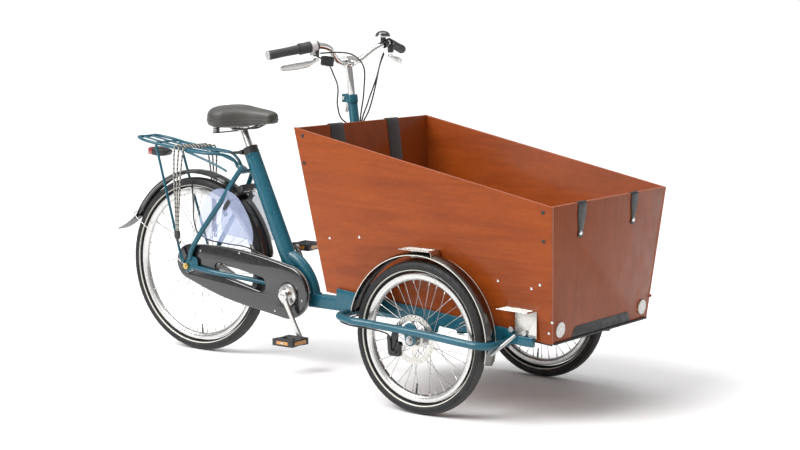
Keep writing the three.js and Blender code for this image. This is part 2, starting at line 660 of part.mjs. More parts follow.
// Guard tube round the outside of a wheel, which also holds the axle's outer end.
function wheelGuardTube() {
  const bar = tube([
    vec(985, -299.5, 298), vec(985, -350, 298), vec(986, -395, 298), vec(998, -424, 296.5), vec(1030, -435, 293),
    vec(1150, -435, 287), vec(1285, -435, 281), vec(1400, -435, 274), vec(1500, -435, 267),
    vec(1545, -432, 264), vec(1572, -412, 262), vec(1580, -380, 262), vec(1580, -315, 262),
  ], 12.5, 8, 20);
  const dropout = plate(beltShape(FRONT.x, FRONT.radius, 19, FRONT.x, 281, 26, 8), -428, -422);
  return cut(join(bar, dropout), barrel(6.5, -440, -410, FRONT.x, FRONT.radius));
}
addPair('wheel_guard', wheelGuardTube(), PAINT, 0.2, 0.35);

function frontAxle() {
  const spindle = barrel(5.8, -440, -292, FRONT.x, FRONT.radius, 12);
  const nut = disc(11, 6, FRONT.x, FRONT.radius);
  const nuts = [plate(nut, -437, -428.5), plate(nut, -306.4, -297)];
  return join(spindle, ...nuts);
}
addPair('front_axle', frontAxle(), STEEL, 0.9, 0.3);

// Brake caliper, a block that straddles the disc low behind the axle.
function caliper() {
  const [x, z] = [FRONT.x - 72, FRONT.radius - 38];
  const body = block(46, 24, 48, x, -405.5, z);
  const rotorSlot = plate(disc(82, 36, FRONT.x, FRONT.radius), -408.4, -404);
  const bracket = plate(beltShape(x - 6, z + 10, 12, FRONT.x - 62, 270, 12, 8), -421.5, -416);
  return join(cut(body, rotorSlot), bracket);
}
addPair('brake_caliper', caliper(), 0x3a3c40, 0.5, 0.45);

addPair('front_mudguard', wheelGuard(FRONT, -1, 279, 28.5, 10, 1.8, -20, 168, 15), 0x4a4a4c, 0.8, 0.25);

// ---------- box ----------
const BENCH = { z: 600, depth: 250, board: 15 };
function boxSidePanel() {
  const corners = [];
  for (const [x, z] of [BOX.rearBottom, BOX.rearTop, BOX.frontTop, BOX.frontBottom]) {
    corners.push(vec(x, -boxSide(x, z), z), vec(x, -boxSide(x, z) + 12.1, z));
  }
  const batten = [];
  for (const x of [850, 1080]) {
    for (const z of [BENCH.z - 32, BENCH.z - 1]) {
      batten.push(vec(x, -boxSide(x, z) + 8, z), vec(x, -boxSide(x, z) + 34, z));
    }
  }
  return join(new ConvexGeometry(corners), new ConvexGeometry(batten));
}
addPair('box_side', boxSidePanel(), WOOD, 0, 0.35);

// An end wall fits between the side walls: wallX gives its outer face, inward is +1 or -1.
function boxEndPanel(wallX, inward, zLow, zHigh) {
  const corners = [];
  for (const z of [zLow, zHigh]) {
    for (const depth of [0, BOX.wall]) {
      const x = wallX(z) + inward * depth;
      const half = boxSide(x, z) - 12.6;
      corners.push(vec(x, -half, z), vec(x, half, z));
    }
  }
  return new ConvexGeometry(corners);
}
add('box_rear', boxEndPanel(rearWallX, 1, BOX.rearBottom[1], BOX.rearTop[1] - 1), WOOD, 0, 0.35);

function boxFront() {
  const panel = boxEndPanel(frontWallX, -1, BOX.frontBottom[1], BOX.frontTop[1]);
  const slot = block(80, 356, 38, frontWallX(270), 0, 269);
  return cut(panel, slot);
}
add('box_front', boxFront(), WOOD, 0, 0.35);

function boxFloor() {
  const corners = [];
  for (const height of [1, 13]) {
    const rearX = rearWallX(BOX.rearBottom[1] + height) + BOX.wall + 0.6;
    const frontX = frontWallX(BOX.frontBottom[1] + height) - BOX.wall - 0.6;
    for (const x of [rearX, frontX]) {
      for (const y of [-289.8, 289.8]) corners.push(vec(x, y, boxBottom(x) + height));
    }
  }
  return new ConvexGeometry(corners);
}
add('box_floor', boxFloor(), WOOD, 0, 0.4);

const BENCH_HINGE = [rearWallX(BENCH.z) + 26, BENCH.z + 7.5];
const benchMiddle = BENCH_HINGE[0] + BENCH.depth / 2 - 7;
add('bench_seat', block(BENCH.depth, 624, BENCH.board, benchMiddle, 0, BENCH.z + 7.5), WOOD, 0, 0.4);

// ---------- steering column, stem and handlebar ----------
const columnPoint = (z) => vec(columnX(z), 0, z);
const COLUMN_TOP = 996;
const BAR_Z = 1104;

function column() {
  const outer = rod(columnPoint(313.5), columnPoint(COLUMN_TOP), 17, 16);
  const clampBlock = block(26, 22, 30, columnX(978) - 24, 0, 978);
  return cut(join(outer, clampBlock), rod(columnPoint(700), columnPoint(1100), 13.2, 16));
}
add('steering_column', column(), PAINT, 0.2, 0.35);

const STEM_PIVOT = [columnX(978) - 30, 978];
add('stem_lever', plate(beltShape(...STEM_PIVOT, 8, STEM_PIVOT[0] - 6, 930, 5, 6), 11.5, 19), STEEL, 0.9, 0.25);

function stem() {
  const post = rod(columnPoint(800), columnPoint(BAR_Z), 12.5, 16);
  const clamp = barrel(20, -23, 23, columnX(BAR_Z), BAR_Z, 16);
  return cut(join(post, clamp), barrel(12.2, -30, 30, columnX(BAR_Z), BAR_Z, 16));
}
add('stem', stem(), STEEL, 0.95, 0.15);

// Handlebar: straight in the clamp, then up, out and swept back to the grips.
const GRIP_INNER = vec(728, -208, 1166);
const GRIP_END = vec(658, -379, 1136);
const gripAxis = GRIP_END.clone().sub(GRIP_INNER).normalize();
const onGrip = (distance) => GRIP_INNER.clone().addScaledVector(gripAxis, distance);

function barHalf() {
  const bend = tube([
    vec(columnX(BAR_Z), -22, BAR_Z), vec(columnX(BAR_Z), -40, BAR_Z), vec(708, -68, 1111), vec(716, -100, 1130),
    vec(731, -140, 1154), vec(734, -176, 1164), onGrip(0), onGrip(14),
  ], 11, 8, 12);
  return join(bend, rod(onGrip(8), onGrip(180), 11, 8));
}

function leverMount() {
  const at = onGrip(2);
  return block(22, 18, 40, at.x + 4, at.y - 2, at.z - 16);
}
const barRight = join(barHalf(), leverMount());
const bellFoot = block(18, 18, 18, 731, 168, 1182);
const barMiddle = barrel(11.4, -33, 33, columnX(BAR_Z), BAR_Z, 12);
add('handlebar', join(barMiddle, barRight, mirrored(barRight), bellFoot), STEEL, 0.95, 0.15);

function gripSleeve(from, to, radius) {
  return cut(rod(onGrip(from), onGrip(to), radius, 16), rod(onGrip(from - 5), onGrip(to + 5), 11.6, 16));
}
add('shifter_grip', gripSleeve(24, 66, 19.5), 0x3a3a3c, 0, 0.7);
add('grip_right', gripSleeve(67, 187, 16), 0x3a3a3c, 0, 0.7);
add('grip_left', mirrored(gripSleeve(28, 187, 16)), 0x3a3a3c, 0, 0.7);

// Brake levers hang under the grips on pivots in the lever mounts.
const LEVER_AT = onGrip(2).add(vec(4, -2, -47));
function brakeLever() {
  const tip = onGrip(140).add(vec(8, -3, -44));
  const middle = onGrip(60).add(vec(15, -6, -50));
  return sweep(section(8, 4, 8), curve([LEVER_AT.clone(), middle, tip]), 12);
}
addPair('brake_lever', brakeLever(), STEEL, 0.8, 0.3);

const BELL = vec(729, 168, 1192);
const BELL_RADIUS = 27;
function bell() {
  const points = [new THREE.Vector2(0, 0), new THREE.Vector2(BELL_RADIUS, 0), new THREE.Vector2(BELL_RADIUS, 5)];
  for (let i = 1; i <= 5; i += 1) {
    const angle = (Math.PI / 10) * i;
    points.push(new THREE.Vector2(i === 5 ? 0 : BELL_RADIUS * Math.cos(angle), 5 + 19 * Math.sin(angle)));
  }
  return new THREE.LatheGeometry(points, 16).rotateX(Math.PI / 2).translate(BELL.x, BELL.y, BELL.z);
}
add('bell', bell(), BLACK, 0.3, 0.3);

// ---------- cables ----------
const CABLE_RADIUS = 2.6;
// Four cables drop from the levers and the shifter into a clip, and run on as one sleeve beside the column.
function controlCables() {
  const beside = 27;
  const clip = block(20, 26, 16, columnX(852), 32, 852);
  const mouth = (y) => [vec(columnX(870) - 1, y, 880), vec(columnX(856), y, 856)];
  const routes = [
    [vec(716, -190, 1130), vec(724, -150, 1112), vec(712, -90, 1060), vec(684, -32, 1010), vec(668, -14, 950),
      vec(672, 2, 905), vec(702, 27, 876), vec(columnX(856), 23, 856)],
    [vec(726, -182, 1140), vec(752, -120, 1142), vec(758, -40, 1130), vec(750, 30, 1085), vec(738, 46, 1000),
      ...mouth(29)],
    [vec(716, 190, 1130), vec(736, 150, 1110), vec(748, 108, 1050), vec(742, 64, 960), ...mouth(35)],
    [vec(722, 184, 1126), vec(744, 130, 1088), vec(752, 96, 1020), vec(744, 66, 930), ...mouth(41)],
  ];
  const sleeve = rod(vec(columnX(850), beside, 850), vec(columnX(345), beside, 345), 6, 6);
  return join(clip, sleeve, ...routes.map((points) => tube(points, CABLE_RADIUS, 6, 11)));
}
add('control_cables', controlCables(), BLACK, 0, 0.6);

function lightCable() {
  return tube([
    vec(384, -30, 378), vec(330, -33, 396), vec(268, -35, 414), vec(165, -36, 420), vec(60, -36, 432),
    vec(20, -36, 452), vec(4, -36, 490), vec(0, -36, 560), vec(-4, -36, 640),
  ], CABLE_RADIUS, 6, 20);
}
add('light_cable', lightCable(), BLACK, 0, 0.6);

export default bike;
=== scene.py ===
"""Looks of a cargo tricycle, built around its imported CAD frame.

Making functions count in millimetres: x forwards from the rear axle, y to the rider's left, z up from the
ground. place() shifts them into the shared frame, in metres, whose origin is at mid-length.
"""
import math

import bpy
import numpy as np
from mathutils import Matrix, Vector
from mathutils.geometry import tessellate_polygon


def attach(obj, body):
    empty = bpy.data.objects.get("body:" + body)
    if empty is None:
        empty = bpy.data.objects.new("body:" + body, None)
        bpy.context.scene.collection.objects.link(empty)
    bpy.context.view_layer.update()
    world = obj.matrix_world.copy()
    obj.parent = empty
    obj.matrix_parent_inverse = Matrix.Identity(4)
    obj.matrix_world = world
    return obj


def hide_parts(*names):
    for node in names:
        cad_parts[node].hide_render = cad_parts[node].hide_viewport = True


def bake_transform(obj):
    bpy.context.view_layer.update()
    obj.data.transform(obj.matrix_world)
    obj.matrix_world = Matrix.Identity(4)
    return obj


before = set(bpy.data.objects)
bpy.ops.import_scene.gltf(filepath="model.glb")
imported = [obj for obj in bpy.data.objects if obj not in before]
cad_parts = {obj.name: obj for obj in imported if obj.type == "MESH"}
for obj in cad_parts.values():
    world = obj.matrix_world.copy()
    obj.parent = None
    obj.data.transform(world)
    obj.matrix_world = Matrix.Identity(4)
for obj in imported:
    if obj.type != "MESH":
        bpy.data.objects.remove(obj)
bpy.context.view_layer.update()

MID_LENGTH = 680.0
TAU = 2 * math.pi
X, Y, Z = np.eye(3)


# ---------------------------------------------------------------- points, paths and sections
def place(points):
    """Drawing millimetres to metres in the shared frame."""
    return (np.asarray(points, float) - (MID_LENGTH, 0, 0)) / 1000


def unit(vectors):
    """Each vector divided by its length."""
    v = np.asarray(vectors, float)
    return v / np.linalg.norm(v, axis=-1, keepdims=True)


def through(points, count=60):
    """A smooth path through points: between two of them a cubic whose end slopes are the mean of its
    neighbours' slopes, weighted by the distances."""
    p = np.asarray(points, float)
    s = np.concatenate([[0], np.cumsum(np.linalg.norm(np.diff(p, axis=0), axis=1))])
    step = np.diff(p, axis=0) / np.diff(s)[:, None]
    gap = np.diff(s)[:, None]
    inner = (step[:-1] * gap[1:] + step[1:] * gap[:-1]) / (gap[1:] + gap[:-1])
    slope = np.vstack([step[:1], inner, step[-1:]])
    at = np.linspace(0, s[-1], count)
    i = np.clip(np.searchsorted(s, at, side="right") - 1, 0, len(p) - 2)
    h = (s[i + 1] - s[i])[:, None]
    t = ((at - s[i]) / (s[i + 1] - s[i]))[:, None]
    return (
        (2 * t**3 - 3 * t**2 + 1) * p[i] + (t**3 - 2 * t**2 + t) * h * slope[i]
        + (3 * t**2 - 2 * t**3) * p[i + 1] + (t**3 - t**2) * h * slope[i + 1]
    )


def bent(points, count=60, cuts=4):
    """A path with straight runs and rounded corners: each cut replaces a corner by its two quarter points."""
    p = np.asarray(points, float)
    for _ in range(cuts):
        a, b = 0.75 * p[:-1] + 0.25 * p[1:], 0.25 * p[:-1] + 0.75 * p[1:]
        p = np.vstack([p[:1], np.stack([a, b], 1).reshape(-1, 3)[1:-1], p[-1:]])
    s = np.concatenate([[0], np.cumsum(np.linalg.norm(np.diff(p, axis=0), axis=1))])
    at = np.linspace(0, s[-1], count)
    return np.stack([np.interp(at, s, p[:, k]) for k in range(3)], 1)


def line(a, b, count=2):
    """Points at even steps from a to b."""
    t = np.linspace(0, 1, count)[:, None]
    return np.asarray(a, float) * (1 - t) + np.asarray(b, float) * t


def arc(centre, radius, start, stop, count):
    """Points on a circle in the XZ plane, from start to stop in degrees, counted from +X towards +Z."""
    a = np.radians(np.linspace(start, stop, count))
    return np.asarray(centre, float) + radius * np.stack([np.cos(a), 0 * a, np.sin(a)], 1)


def circle(radius, sides=24):
    """Corners of a regular polygon on a circle round the origin."""
    a = np.linspace(0, TAU, sides, endpoint=False)
    return radius * np.stack([np.cos(a), np.sin(a)], 1)


def oval(wide, high, sides=28):
    """The same, stretched to half width wide and half height high."""
    return circle(1, sides) * (wide, high)


def rounded(wide, high, corner, steps=5):
    """A rectangle whose corners are quarter circles."""
    a = np.linspace(0, TAU, 4 * steps, endpoint=False) + TAU / (8 * steps)
    quarter = np.repeat([(1, 1), (-1, 1), (-1, -1), (1, -1)], steps, axis=0)
    return quarter * (wide / 2 - corner, high / 2 - corner) + corner * np.stack([np.cos(a), np.sin(a)], 1)


def belt(xa, za, ra, xb, zb, rb, steps=14):
    """The outline round two discs, as a belt lies on two pulleys."""
    way = math.atan2(zb - za, xb - xa)
    tilt = math.acos((ra - rb) / math.hypot(xb - xa, zb - za))
    a = np.linspace(way + tilt, way + TAU - tilt, steps)
    b = np.linspace(way - tilt, way + tilt, steps)
    return np.vstack([
        np.stack([xa + ra * np.cos(a), za + ra * np.sin(a)], 1),
        np.stack([xb + rb * np.cos(b), zb + rb * np.sin(b)], 1),
    ])


# ---------------------------------------------------------------- surfaces
def skin(grid, loop_u=False, loop_v=True, ends=None, marks=None):
    """The faces of a grid of points [u, v]. loop_u and loop_v join the last row or column to the first.
    ends closes the first and last rows with a fan: "flat" to their middle, or to two given points."""
    grid = np.asarray(grid, float)
    rows, columns = grid.shape[:2]
    index = np.arange(rows * columns).reshape(rows, columns)
    table = np.vstack([index, index[:1]]) if loop_u else index
    table = np.hstack([table, table[:, :1]]) if loop_v else table
    quads = np.stack([table[:-1, :-1], table[1:, :-1], table[1:, 1:], table[:-1, 1:]], -1).reshape(-1, 4)
    points = grid.reshape(-1, 3)
    fans = np.zeros((0, 3), int)
    marks = {k: np.broadcast_to(v, (rows, columns)).reshape(-1) for k, v in (marks or {}).items()}
    if ends is not None:
        tips = [grid[0].mean(0), grid[-1].mean(0)] if isinstance(ends, str) else ends
        n = len(points)
        first, last = index[0], index[-1]
        fans = np.vstack([
            np.stack([first, np.roll(first, -1), np.full(columns, n)], 1),
            np.stack([np.roll(last, -1), last, np.full(columns, n + 1)], 1),
        ])
        points = np.vstack([points, tips])
        marks = {k: np.concatenate([v, [v[0], v[-1]]]) for k, v in marks.items()}
    return outward({"points": points, "quads": quads, "fans": fans, "marks": marks})


def outward(part):
    """Turns the faces over if the volume they enclose comes out negative."""
    p = part["points"] - part["points"].mean(0)
    q, f = part["quads"], part["fans"]
    tri = np.vstack([q[:, [0, 1, 2]], q[:, [0, 2, 3]], f])
    volume = np.einsum("ij,ij->", p[tri[:, 0]], np.cross(p[tri[:, 1]], p[tri[:, 2]]))
    if volume < 0:
        part["quads"], part["fans"] = q[:, ::-1], f[:, ::-1]
    return part


def carry(section, path, side=Y, size=1.0):
    """A section carried along a path. Its first axis lies along side made square to the path, its second
    square to both. size stretches it at each point of the path, the same or separately on both axes."""
    path = np.asarray(path, float)
    ahead = unit(np.gradient(path, axis=0))
    side = np.broadcast_to(side, path.shape)
    first = unit(side - (side * ahead).sum(1, keepdims=True) * ahead)
    second = np.cross(first, ahead)
    size = np.asarray(size, float)
    size = size[:, None] if size.ndim == 1 else size
    scale = np.broadcast_to(size, (len(path), 2)) if size.ndim else np.full((len(path), 2), size)
    wide = section[None, :, 0:1] * scale[:, None, 0:1]
    high = section[None, :, 1:2] * scale[:, None, 1:2]
    return path[:, None] + wide * first[:, None] + high * second[:, None]


def along_marks(path, columns):
    """How far along the path and how far round the section each point is, for patterns on cords."""
    reach = np.concatenate([[0], np.cumsum(np.linalg.norm(np.diff(path, axis=0), axis=1))]) / 1000
    return {"along": reach[:, None], "around": (np.arange(columns) / columns)[None, :]}


def tube(path, radius, sides=20, side=Y, size=1.0):
    """A round bar along a path, closed at both ends."""
    path = np.asarray(path, float)
    grid = carry(circle(radius, sides), path, side, size)
    return skin(grid, ends="flat", marks=along_marks(path, sides))


def bar(section, path, side=Y, size=1.0):
    """Any section carried along a path and closed at both ends."""
    return skin(carry(section, path, side, size), ends="flat")


def turn(profile, origins=(0, 0, 0), axes=Y, sides=48, loop=False):
    """A profile of (radius, height) rows turned about an axis, at one place or at many at once.
    A profile that starts or ends on the axis gets a pole there, and a looped one makes a ring."""
    profile = np.asarray(profile, float)
    origins = np.atleast_2d(np.asarray(origins, float))
    axes = np.broadcast_to(unit(axes), origins.shape)
    helper = np.where(np.abs(axes[:, 2:3]) < 0.9, Z, X)
    first = unit(np.cross(helper, axes))
    second = np.cross(axes, first)
    body = profile if loop else profile[profile[:, 0] > 1e-6]
    a = np.linspace(0, TAU, sides, endpoint=False)
    ring = np.cos(a)[:, None, None] * first + np.sin(a)[:, None, None] * second
    parts = []
    for k in range(len(origins)):
        grid = origins[k] + body[:, 0, None, None] * ring[None, :, k] + body[:, 1, None, None] * axes[k]
        ends = None if loop else [origins[k] + profile[i, 1] * axes[k] for i in (0, -1)]
        parts.append(skin(grid, loop_u=loop, ends=ends))
    return parts


def rods(starts, stops, radius, sides=8):
    """Many straight round rods at once."""
    starts, stops = np.asarray(starts, float), np.asarray(stops, float)
    ahead = unit(stops - starts)
    helper = np.where(np.abs(ahead[:, 1:2]) < 0.9, Y, X)
    first = unit(np.cross(helper, ahead))
    second = np.cross(ahead, first)
    ring = circle(radius, sides)
    across = ring[None, :, 0:1] * first[:, None] + ring[None, :, 1:2] * second[:, None]
    return [skin(np.stack([a + r, b + r]), ends="flat") for a, b, r in zip(starts[:, None], stops[:, None], across)]


def inset(loop, depth):
    """A loop moved to its left by depth, along the mean normal at each corner."""
    ahead = unit(np.roll(loop, -1, axis=0) - np.roll(loop, 1, axis=0))
    return loop + depth * np.stack([-ahead[:, 1], ahead[:, 0]], 1)


def counter_clockwise(loop):
    """The loop, reversed if the area it encloses comes out negative."""
    x, z = np.asarray(loop, float).T
    area = np.sum(x * np.roll(z, -1) - z * np.roll(x, -1))
    return np.asarray(loop, float)[:: 1 if area > 0 else -1]


def cut_plate(outline, holes, origin, first, second, thick, edge=0.6):
    """A flat plate with holes. Its outline is drawn along first and second, it grows by thick along their
    normal, and every edge is rounded by a quarter circle of radius edge."""
    first, second = np.asarray(first, float), np.asarray(second, float)
    normal = np.cross(first, second)
    lift = lambda loop, h: origin + loop[:, :1] * first + loop[:, 1:] * second + h * normal
    loops = [(counter_clockwise(outline), 1)] + [(counter_clockwise(h), -1) for h in holes]
    parts, across = [], []
    quarter = np.radians([0, 30, 60, 90])
    for loop, sign in loops:
        rows = [(sign * (edge - edge * math.cos(q)), thick - edge + edge * math.sin(q)) for q in quarter[::-1]]
        rows += [(sign * (edge - edge * math.cos(q)), edge - edge * math.sin(q)) for q in quarter]
        grid = np.stack([lift(inset(loop, d), h) for d, h in rows])
        parts.append(grid)
        across.append(np.repeat([1 - h / thick for _, h in rows], len(loop)))
    points, quads, start = [], [], 0
    for grid, (_, sign) in zip(parts, loops):
        rows, columns = grid.shape[:2]
        index = start + np.arange(rows * columns).reshape(rows, columns)
        table = np.hstack([index, index[:, :1]])
        q = np.stack([table[:-1, :-1], table[1:, :-1], table[1:, 1:], table[:-1, 1:]], -1).reshape(-1, 4)
        quads.append(q if sign > 0 else q[:, ::-1])
        points.append(grid.reshape(-1, 3))
        start += rows * columns
    flat = [[Vector((*p, 0)) for p in inset(loop, s * edge)] for loop, s in loops]
    triangles = np.array(tessellate_polygon(flat))
    counts = np.cumsum([0] + [len(l) for l, _ in loops])
    starts = np.cumsum([0] + [g.shape[0] * g.shape[1] for g in parts])
    which = np.searchsorted(counts, triangles, side="right") - 1
    local = triangles - counts[which]
    top = starts[which] + local
    heights = np.array([g.shape[0] for g in parts])[which]
    columns = np.array([g.shape[1] for g in parts])[which]
    bottom = starts[which] + (heights - 1) * columns + local
    points = np.vstack(points)
    a, b, c = (points[top[:, k]] for k in range(3))
    face_up = np.einsum("ij,j->i", np.cross(b - a, c - a), normal) > 0
    top = np.where(face_up[:, None], top, top[:, ::-1])
    bottom = np.where(face_up[:, None], bottom[:, ::-1], bottom)
    part = {"points": points, "quads": np.vstack(quads), "fans": np.vstack([top, bottom]),
        "marks": {"across": np.concatenate(across)}}
    return settle_walls(part, loops)


WALL_BANDS = 7  # the bands between the eight rows of a cut plate's wall


def settle_walls(part, loops):
    """Walls and faces of a cut plate are made to agree: a wall face that runs along its top edge the same way
    as the top face does is turned over."""
    top_edges = set()
    for tri in part["fans"].tolist():
        top_edges.update({(tri[0], tri[1]), (tri[1], tri[2]), (tri[2], tri[0])})
    quads = part["quads"]
    start, sections = 0, []
    for loop, _ in loops:
        n = len(loop)
        size = WALL_BANDS * n
        block = quads[start:start + size]
        edge = [(int(q[i]), int(q[(i + 1) % 4])) for q in block[:n] for i in range(4)]
        same = any(e in top_edges for e in edge)
        sections.append(block[:, ::-1] if same else block)
        start += size
    part["quads"] = np.vstack(sections)
    return part


def xz_plate(outline, holes, y_low, y_high, edge=0.6):
    """A cut plate drawn in XZ that fills y_low to y_high."""
    return cut_plate(outline, holes, np.array([0, y_high, 0.0]), X, Z, y_high - y_low, edge)


def board(outer, inner, thick=12.0, edge=1.6):
    """A panel between two faces of four corners each. The mark "across" runs from 0 on the outer face to 1
    on the inner one, and its edges are rounded."""
    outer, inner = np.asarray(outer, float), np.asarray(inner, float)
    rows, across = [], []
    quarter = np.radians([90, 60, 30, 0])
    steps = [(edge * (1 - math.cos(q)), edge * (1 - math.sin(q)) / thick) for q in quarter]
    for pull, t in steps + [(p, 1 - t) for p, t in steps[::-1]]:
        loop = outer * (1 - t) + inner * t
        to_next, to_last = unit(np.roll(loop, -1, 0) - loop), unit(np.roll(loop, 1, 0) - loop)
        corner = loop + pull * (to_next + to_last)
        rows.append(corner)
        across.append(t)
    grid = np.stack(rows)
    return skin(grid, ends="flat", marks={"across": np.array(across)[:, None]})


def mirrored(parts):
    """The same parts on the rider's other side, turned over so that they still face outwards."""
    flip = np.array([1, -1, 1])
    return [dict(p, points=p["points"] * flip, quads=p["quads"][:, ::-1], fans=p["fans"][:, ::-1]) for p in parts]


def many(parts):
    """One flat list of parts."""
    flat = []
    for p in parts if isinstance(parts, (list, tuple)) else [parts]:
        flat.extend(many(p) if isinstance(p, (list, tuple)) else [p])
    return flat


def piece(name, parts, finish, body, stands_for=(), smooth=42):
    """One object from its parts: joined, placed in metres, given its finish and hung on its CAD body. With no body it
    is left free."""
    parts = many(parts)
    counts = np.cumsum([0] + [len(p["points"]) for p in parts])
    points = place(np.vstack([p["points"] for p in parts]))
    faces = []
    for p, n in zip(parts, counts):
        faces += (p["quads"] + n).tolist() + (p["fans"] + n).tolist()
    mesh = bpy.data.meshes.new(name)
    mesh.from_pydata(points, [], faces)
    for mark in {k for p in parts for k in p["marks"]}:
        values = np.concatenate([p["marks"].get(mark, np.zeros(len(p["points"]))) for p in parts])
        mesh.attributes.new(mark, "FLOAT", "POINT").data.foreach_set("value", values.astype(np.float32))
    mesh.polygons.foreach_set("use_smooth", np.ones(len(mesh.polygons), bool))
    mesh.set_sharp_from_angle(angle=math.radians(smooth))
    mesh.materials.append(finish)
    obj = bpy.data.objects.new(name, mesh)
    bpy.context.scene.collection.objects.link(obj)
    if stands_for:
        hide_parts(*([stands_for] if isinstance(stands_for, str) else stands_for))
    if body:
        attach(obj, body)
    return obj


# ---------------------------------------------------------------- finishes
class Finish:
    """A material being made: short calls that add one node each and return its output."""

    def __init__(self, name, **sockets):
        self.material = bpy.data.materials.new(name)
        self.material.use_nodes = True
        self.tree = self.material.node_tree
        self.shader = self.tree.nodes["Principled BSDF"]
        for socket, value in sockets.items():
            self.shader.inputs[socket.replace("_", " ")].default_value = value
        self.spot = self.tree.nodes.new("ShaderNodeTexCoord").outputs["Object"]

    def node(self, kind, inputs=None, **settings):
        n = self.tree.nodes.new("ShaderNode" + kind)
        for key, value in settings.items():
            setattr(n, key, value)
        for key, value in (inputs or {}).items():
            if isinstance(value, bpy.types.NodeSocket):
                self.tree.links.new(value, n.inputs[key])
            else:
                n.inputs[key].default_value = value
        return n

    def stretched(self, x, y, z, turn=(0, 0, 0)):
        return self.node("Mapping", {"Vector": self.spot, "Scale": (x, y, z), "Rotation": turn}).outputs[0]

    def noise(self, scale, detail=4, where=None, distortion=0.0, rough=0.55):
        ins = {"Vector": where or self.spot, "Scale": scale, "Detail": detail, "Distortion": distortion,
            "Roughness": rough}
        return self.node("TexNoise", ins).outputs["Fac"]

    def cells(self, scale, where=None, feature="F1"):
        return self.node("TexVoronoi", {"Vector": where or self.spot, "Scale": scale},
            feature=feature).outputs["Distance"]

    def fit(self, value, low, high, to_low=0.0, to_high=1.0):
        ins = {"Value": value, "From Min": low, "From Max": high, "To Min": to_low, "To Max": to_high}
        return self.node("MapRange", ins, interpolation_type="SMOOTHSTEP").outputs[0]

    def math(self, operation, a, b=0.0, c=0.0):
        return self.node("Math", {0: a, 1: b, 2: c}, operation=operation).outputs[0]

    def mix(self, factor, a, b):
        n = self.node("Mix", data_type="RGBA")
        for key, value in ((0, factor), (6, a), (7, b)):
            if isinstance(value, bpy.types.NodeSocket):
                self.tree.links.new(value, n.inputs[key])
            else:
                n.inputs[key].default_value = value if key == 0 else (*value, 1)[:4]
        return n.outputs[2]

    def mark(self, name):
        return self.node("Attribute", attribute_name=name).outputs["Fac"]

    def bump(self, height, depth, strength=1.0, normal=None):
        ins = {"Height": height, "Distance": depth / 1000, "Strength": strength}
        if normal is not None:
            ins["Normal"] = normal
        return self.node("Bump", ins).outputs[0]

    def done(self, colour=None, rough=None, normal=None):
        for socket, value in (("Base Color", colour), ("Roughness", rough), ("Normal", normal)):
            if value is not None:
                self.tree.links.new(value, self.shader.inputs[socket])
        if normal is not None and self.shader.inputs["Coat Weight"].default_value > 0:
            self.tree.links.new(normal, self.shader.inputs["Coat Normal"])
        return self.material


def enamel(name, colour, deep, rough=0.3):
    """Baked enamel: slow drifts of shade, a clear coat with faint orange peel, and dull dusty patches."""
    f = Finish(name, Coat_Weight=0.4, Coat_Roughness=0.07, Specular_IOR_Level=0.25)
    drift = f.fit(f.noise(7, 3), 0.35, 0.65)
    specks = f.fit(f.noise(900, 2), 0.62, 0.75)
    shade = f.mix(drift, colour, deep)
    shade = f.mix(f.math("MULTIPLY", specks, 0.1), shade, tuple(min(1, c * 1.5 + 0.01) for c in colour))
    peel = f.noise(420, 2)
    return f.done(shade, f.fit(f.noise(35, 5), 0.3, 0.75, rough - 0.08, rough + 0.12), f.bump(peel, 0.05, 0.35))


def bright_metal(name, colour, rough, spread=0.12, brush=None, depth=0.02, grime=0.25):
    """Plated or polished metal: handling marks in the gloss, fine brushing, and darker film in patches."""
    f = Finish(name, Metallic=1.0)
    where = f.stretched(*brush) if brush else None
    fine = f.noise(260 if brush else 700, 4, where)
    film = f.fit(f.noise(28, 5), 0.48, 0.78)
    shade = f.mix(f.math("MULTIPLY", film, grime), colour, tuple(c * 0.45 for c in colour))
    gloss = f.math("ADD", f.fit(fine, 0.3, 0.7, rough, rough + spread), f.math("MULTIPLY", film, 0.12))
    return f.done(shade, gloss, f.bump(fine, depth, 0.4))


def moulded(name, colour, rough, grain=900, depth=0.05, coat=0.0, haze=0.15):
    """Moulded plastic or rubber: spark-eroded grain, cloudy gloss and a little dust in patches."""
    f = Finish(name, Coat_Weight=coat, Coat_Roughness=0.06)
    fine = f.noise(grain, 3)
    dust = f.fit(f.noise(22, 5), 0.5, 0.8)
    shade = f.mix(f.math("MULTIPLY", dust, haze), colour, tuple(min(1, c + 0.06) for c in colour))
    gloss = f.fit(f.noise(60, 4), 0.3, 0.7, rough - 0.07, rough + 0.1)
    return f.done(shade, gloss, f.bump(fine, depth, 0.6))


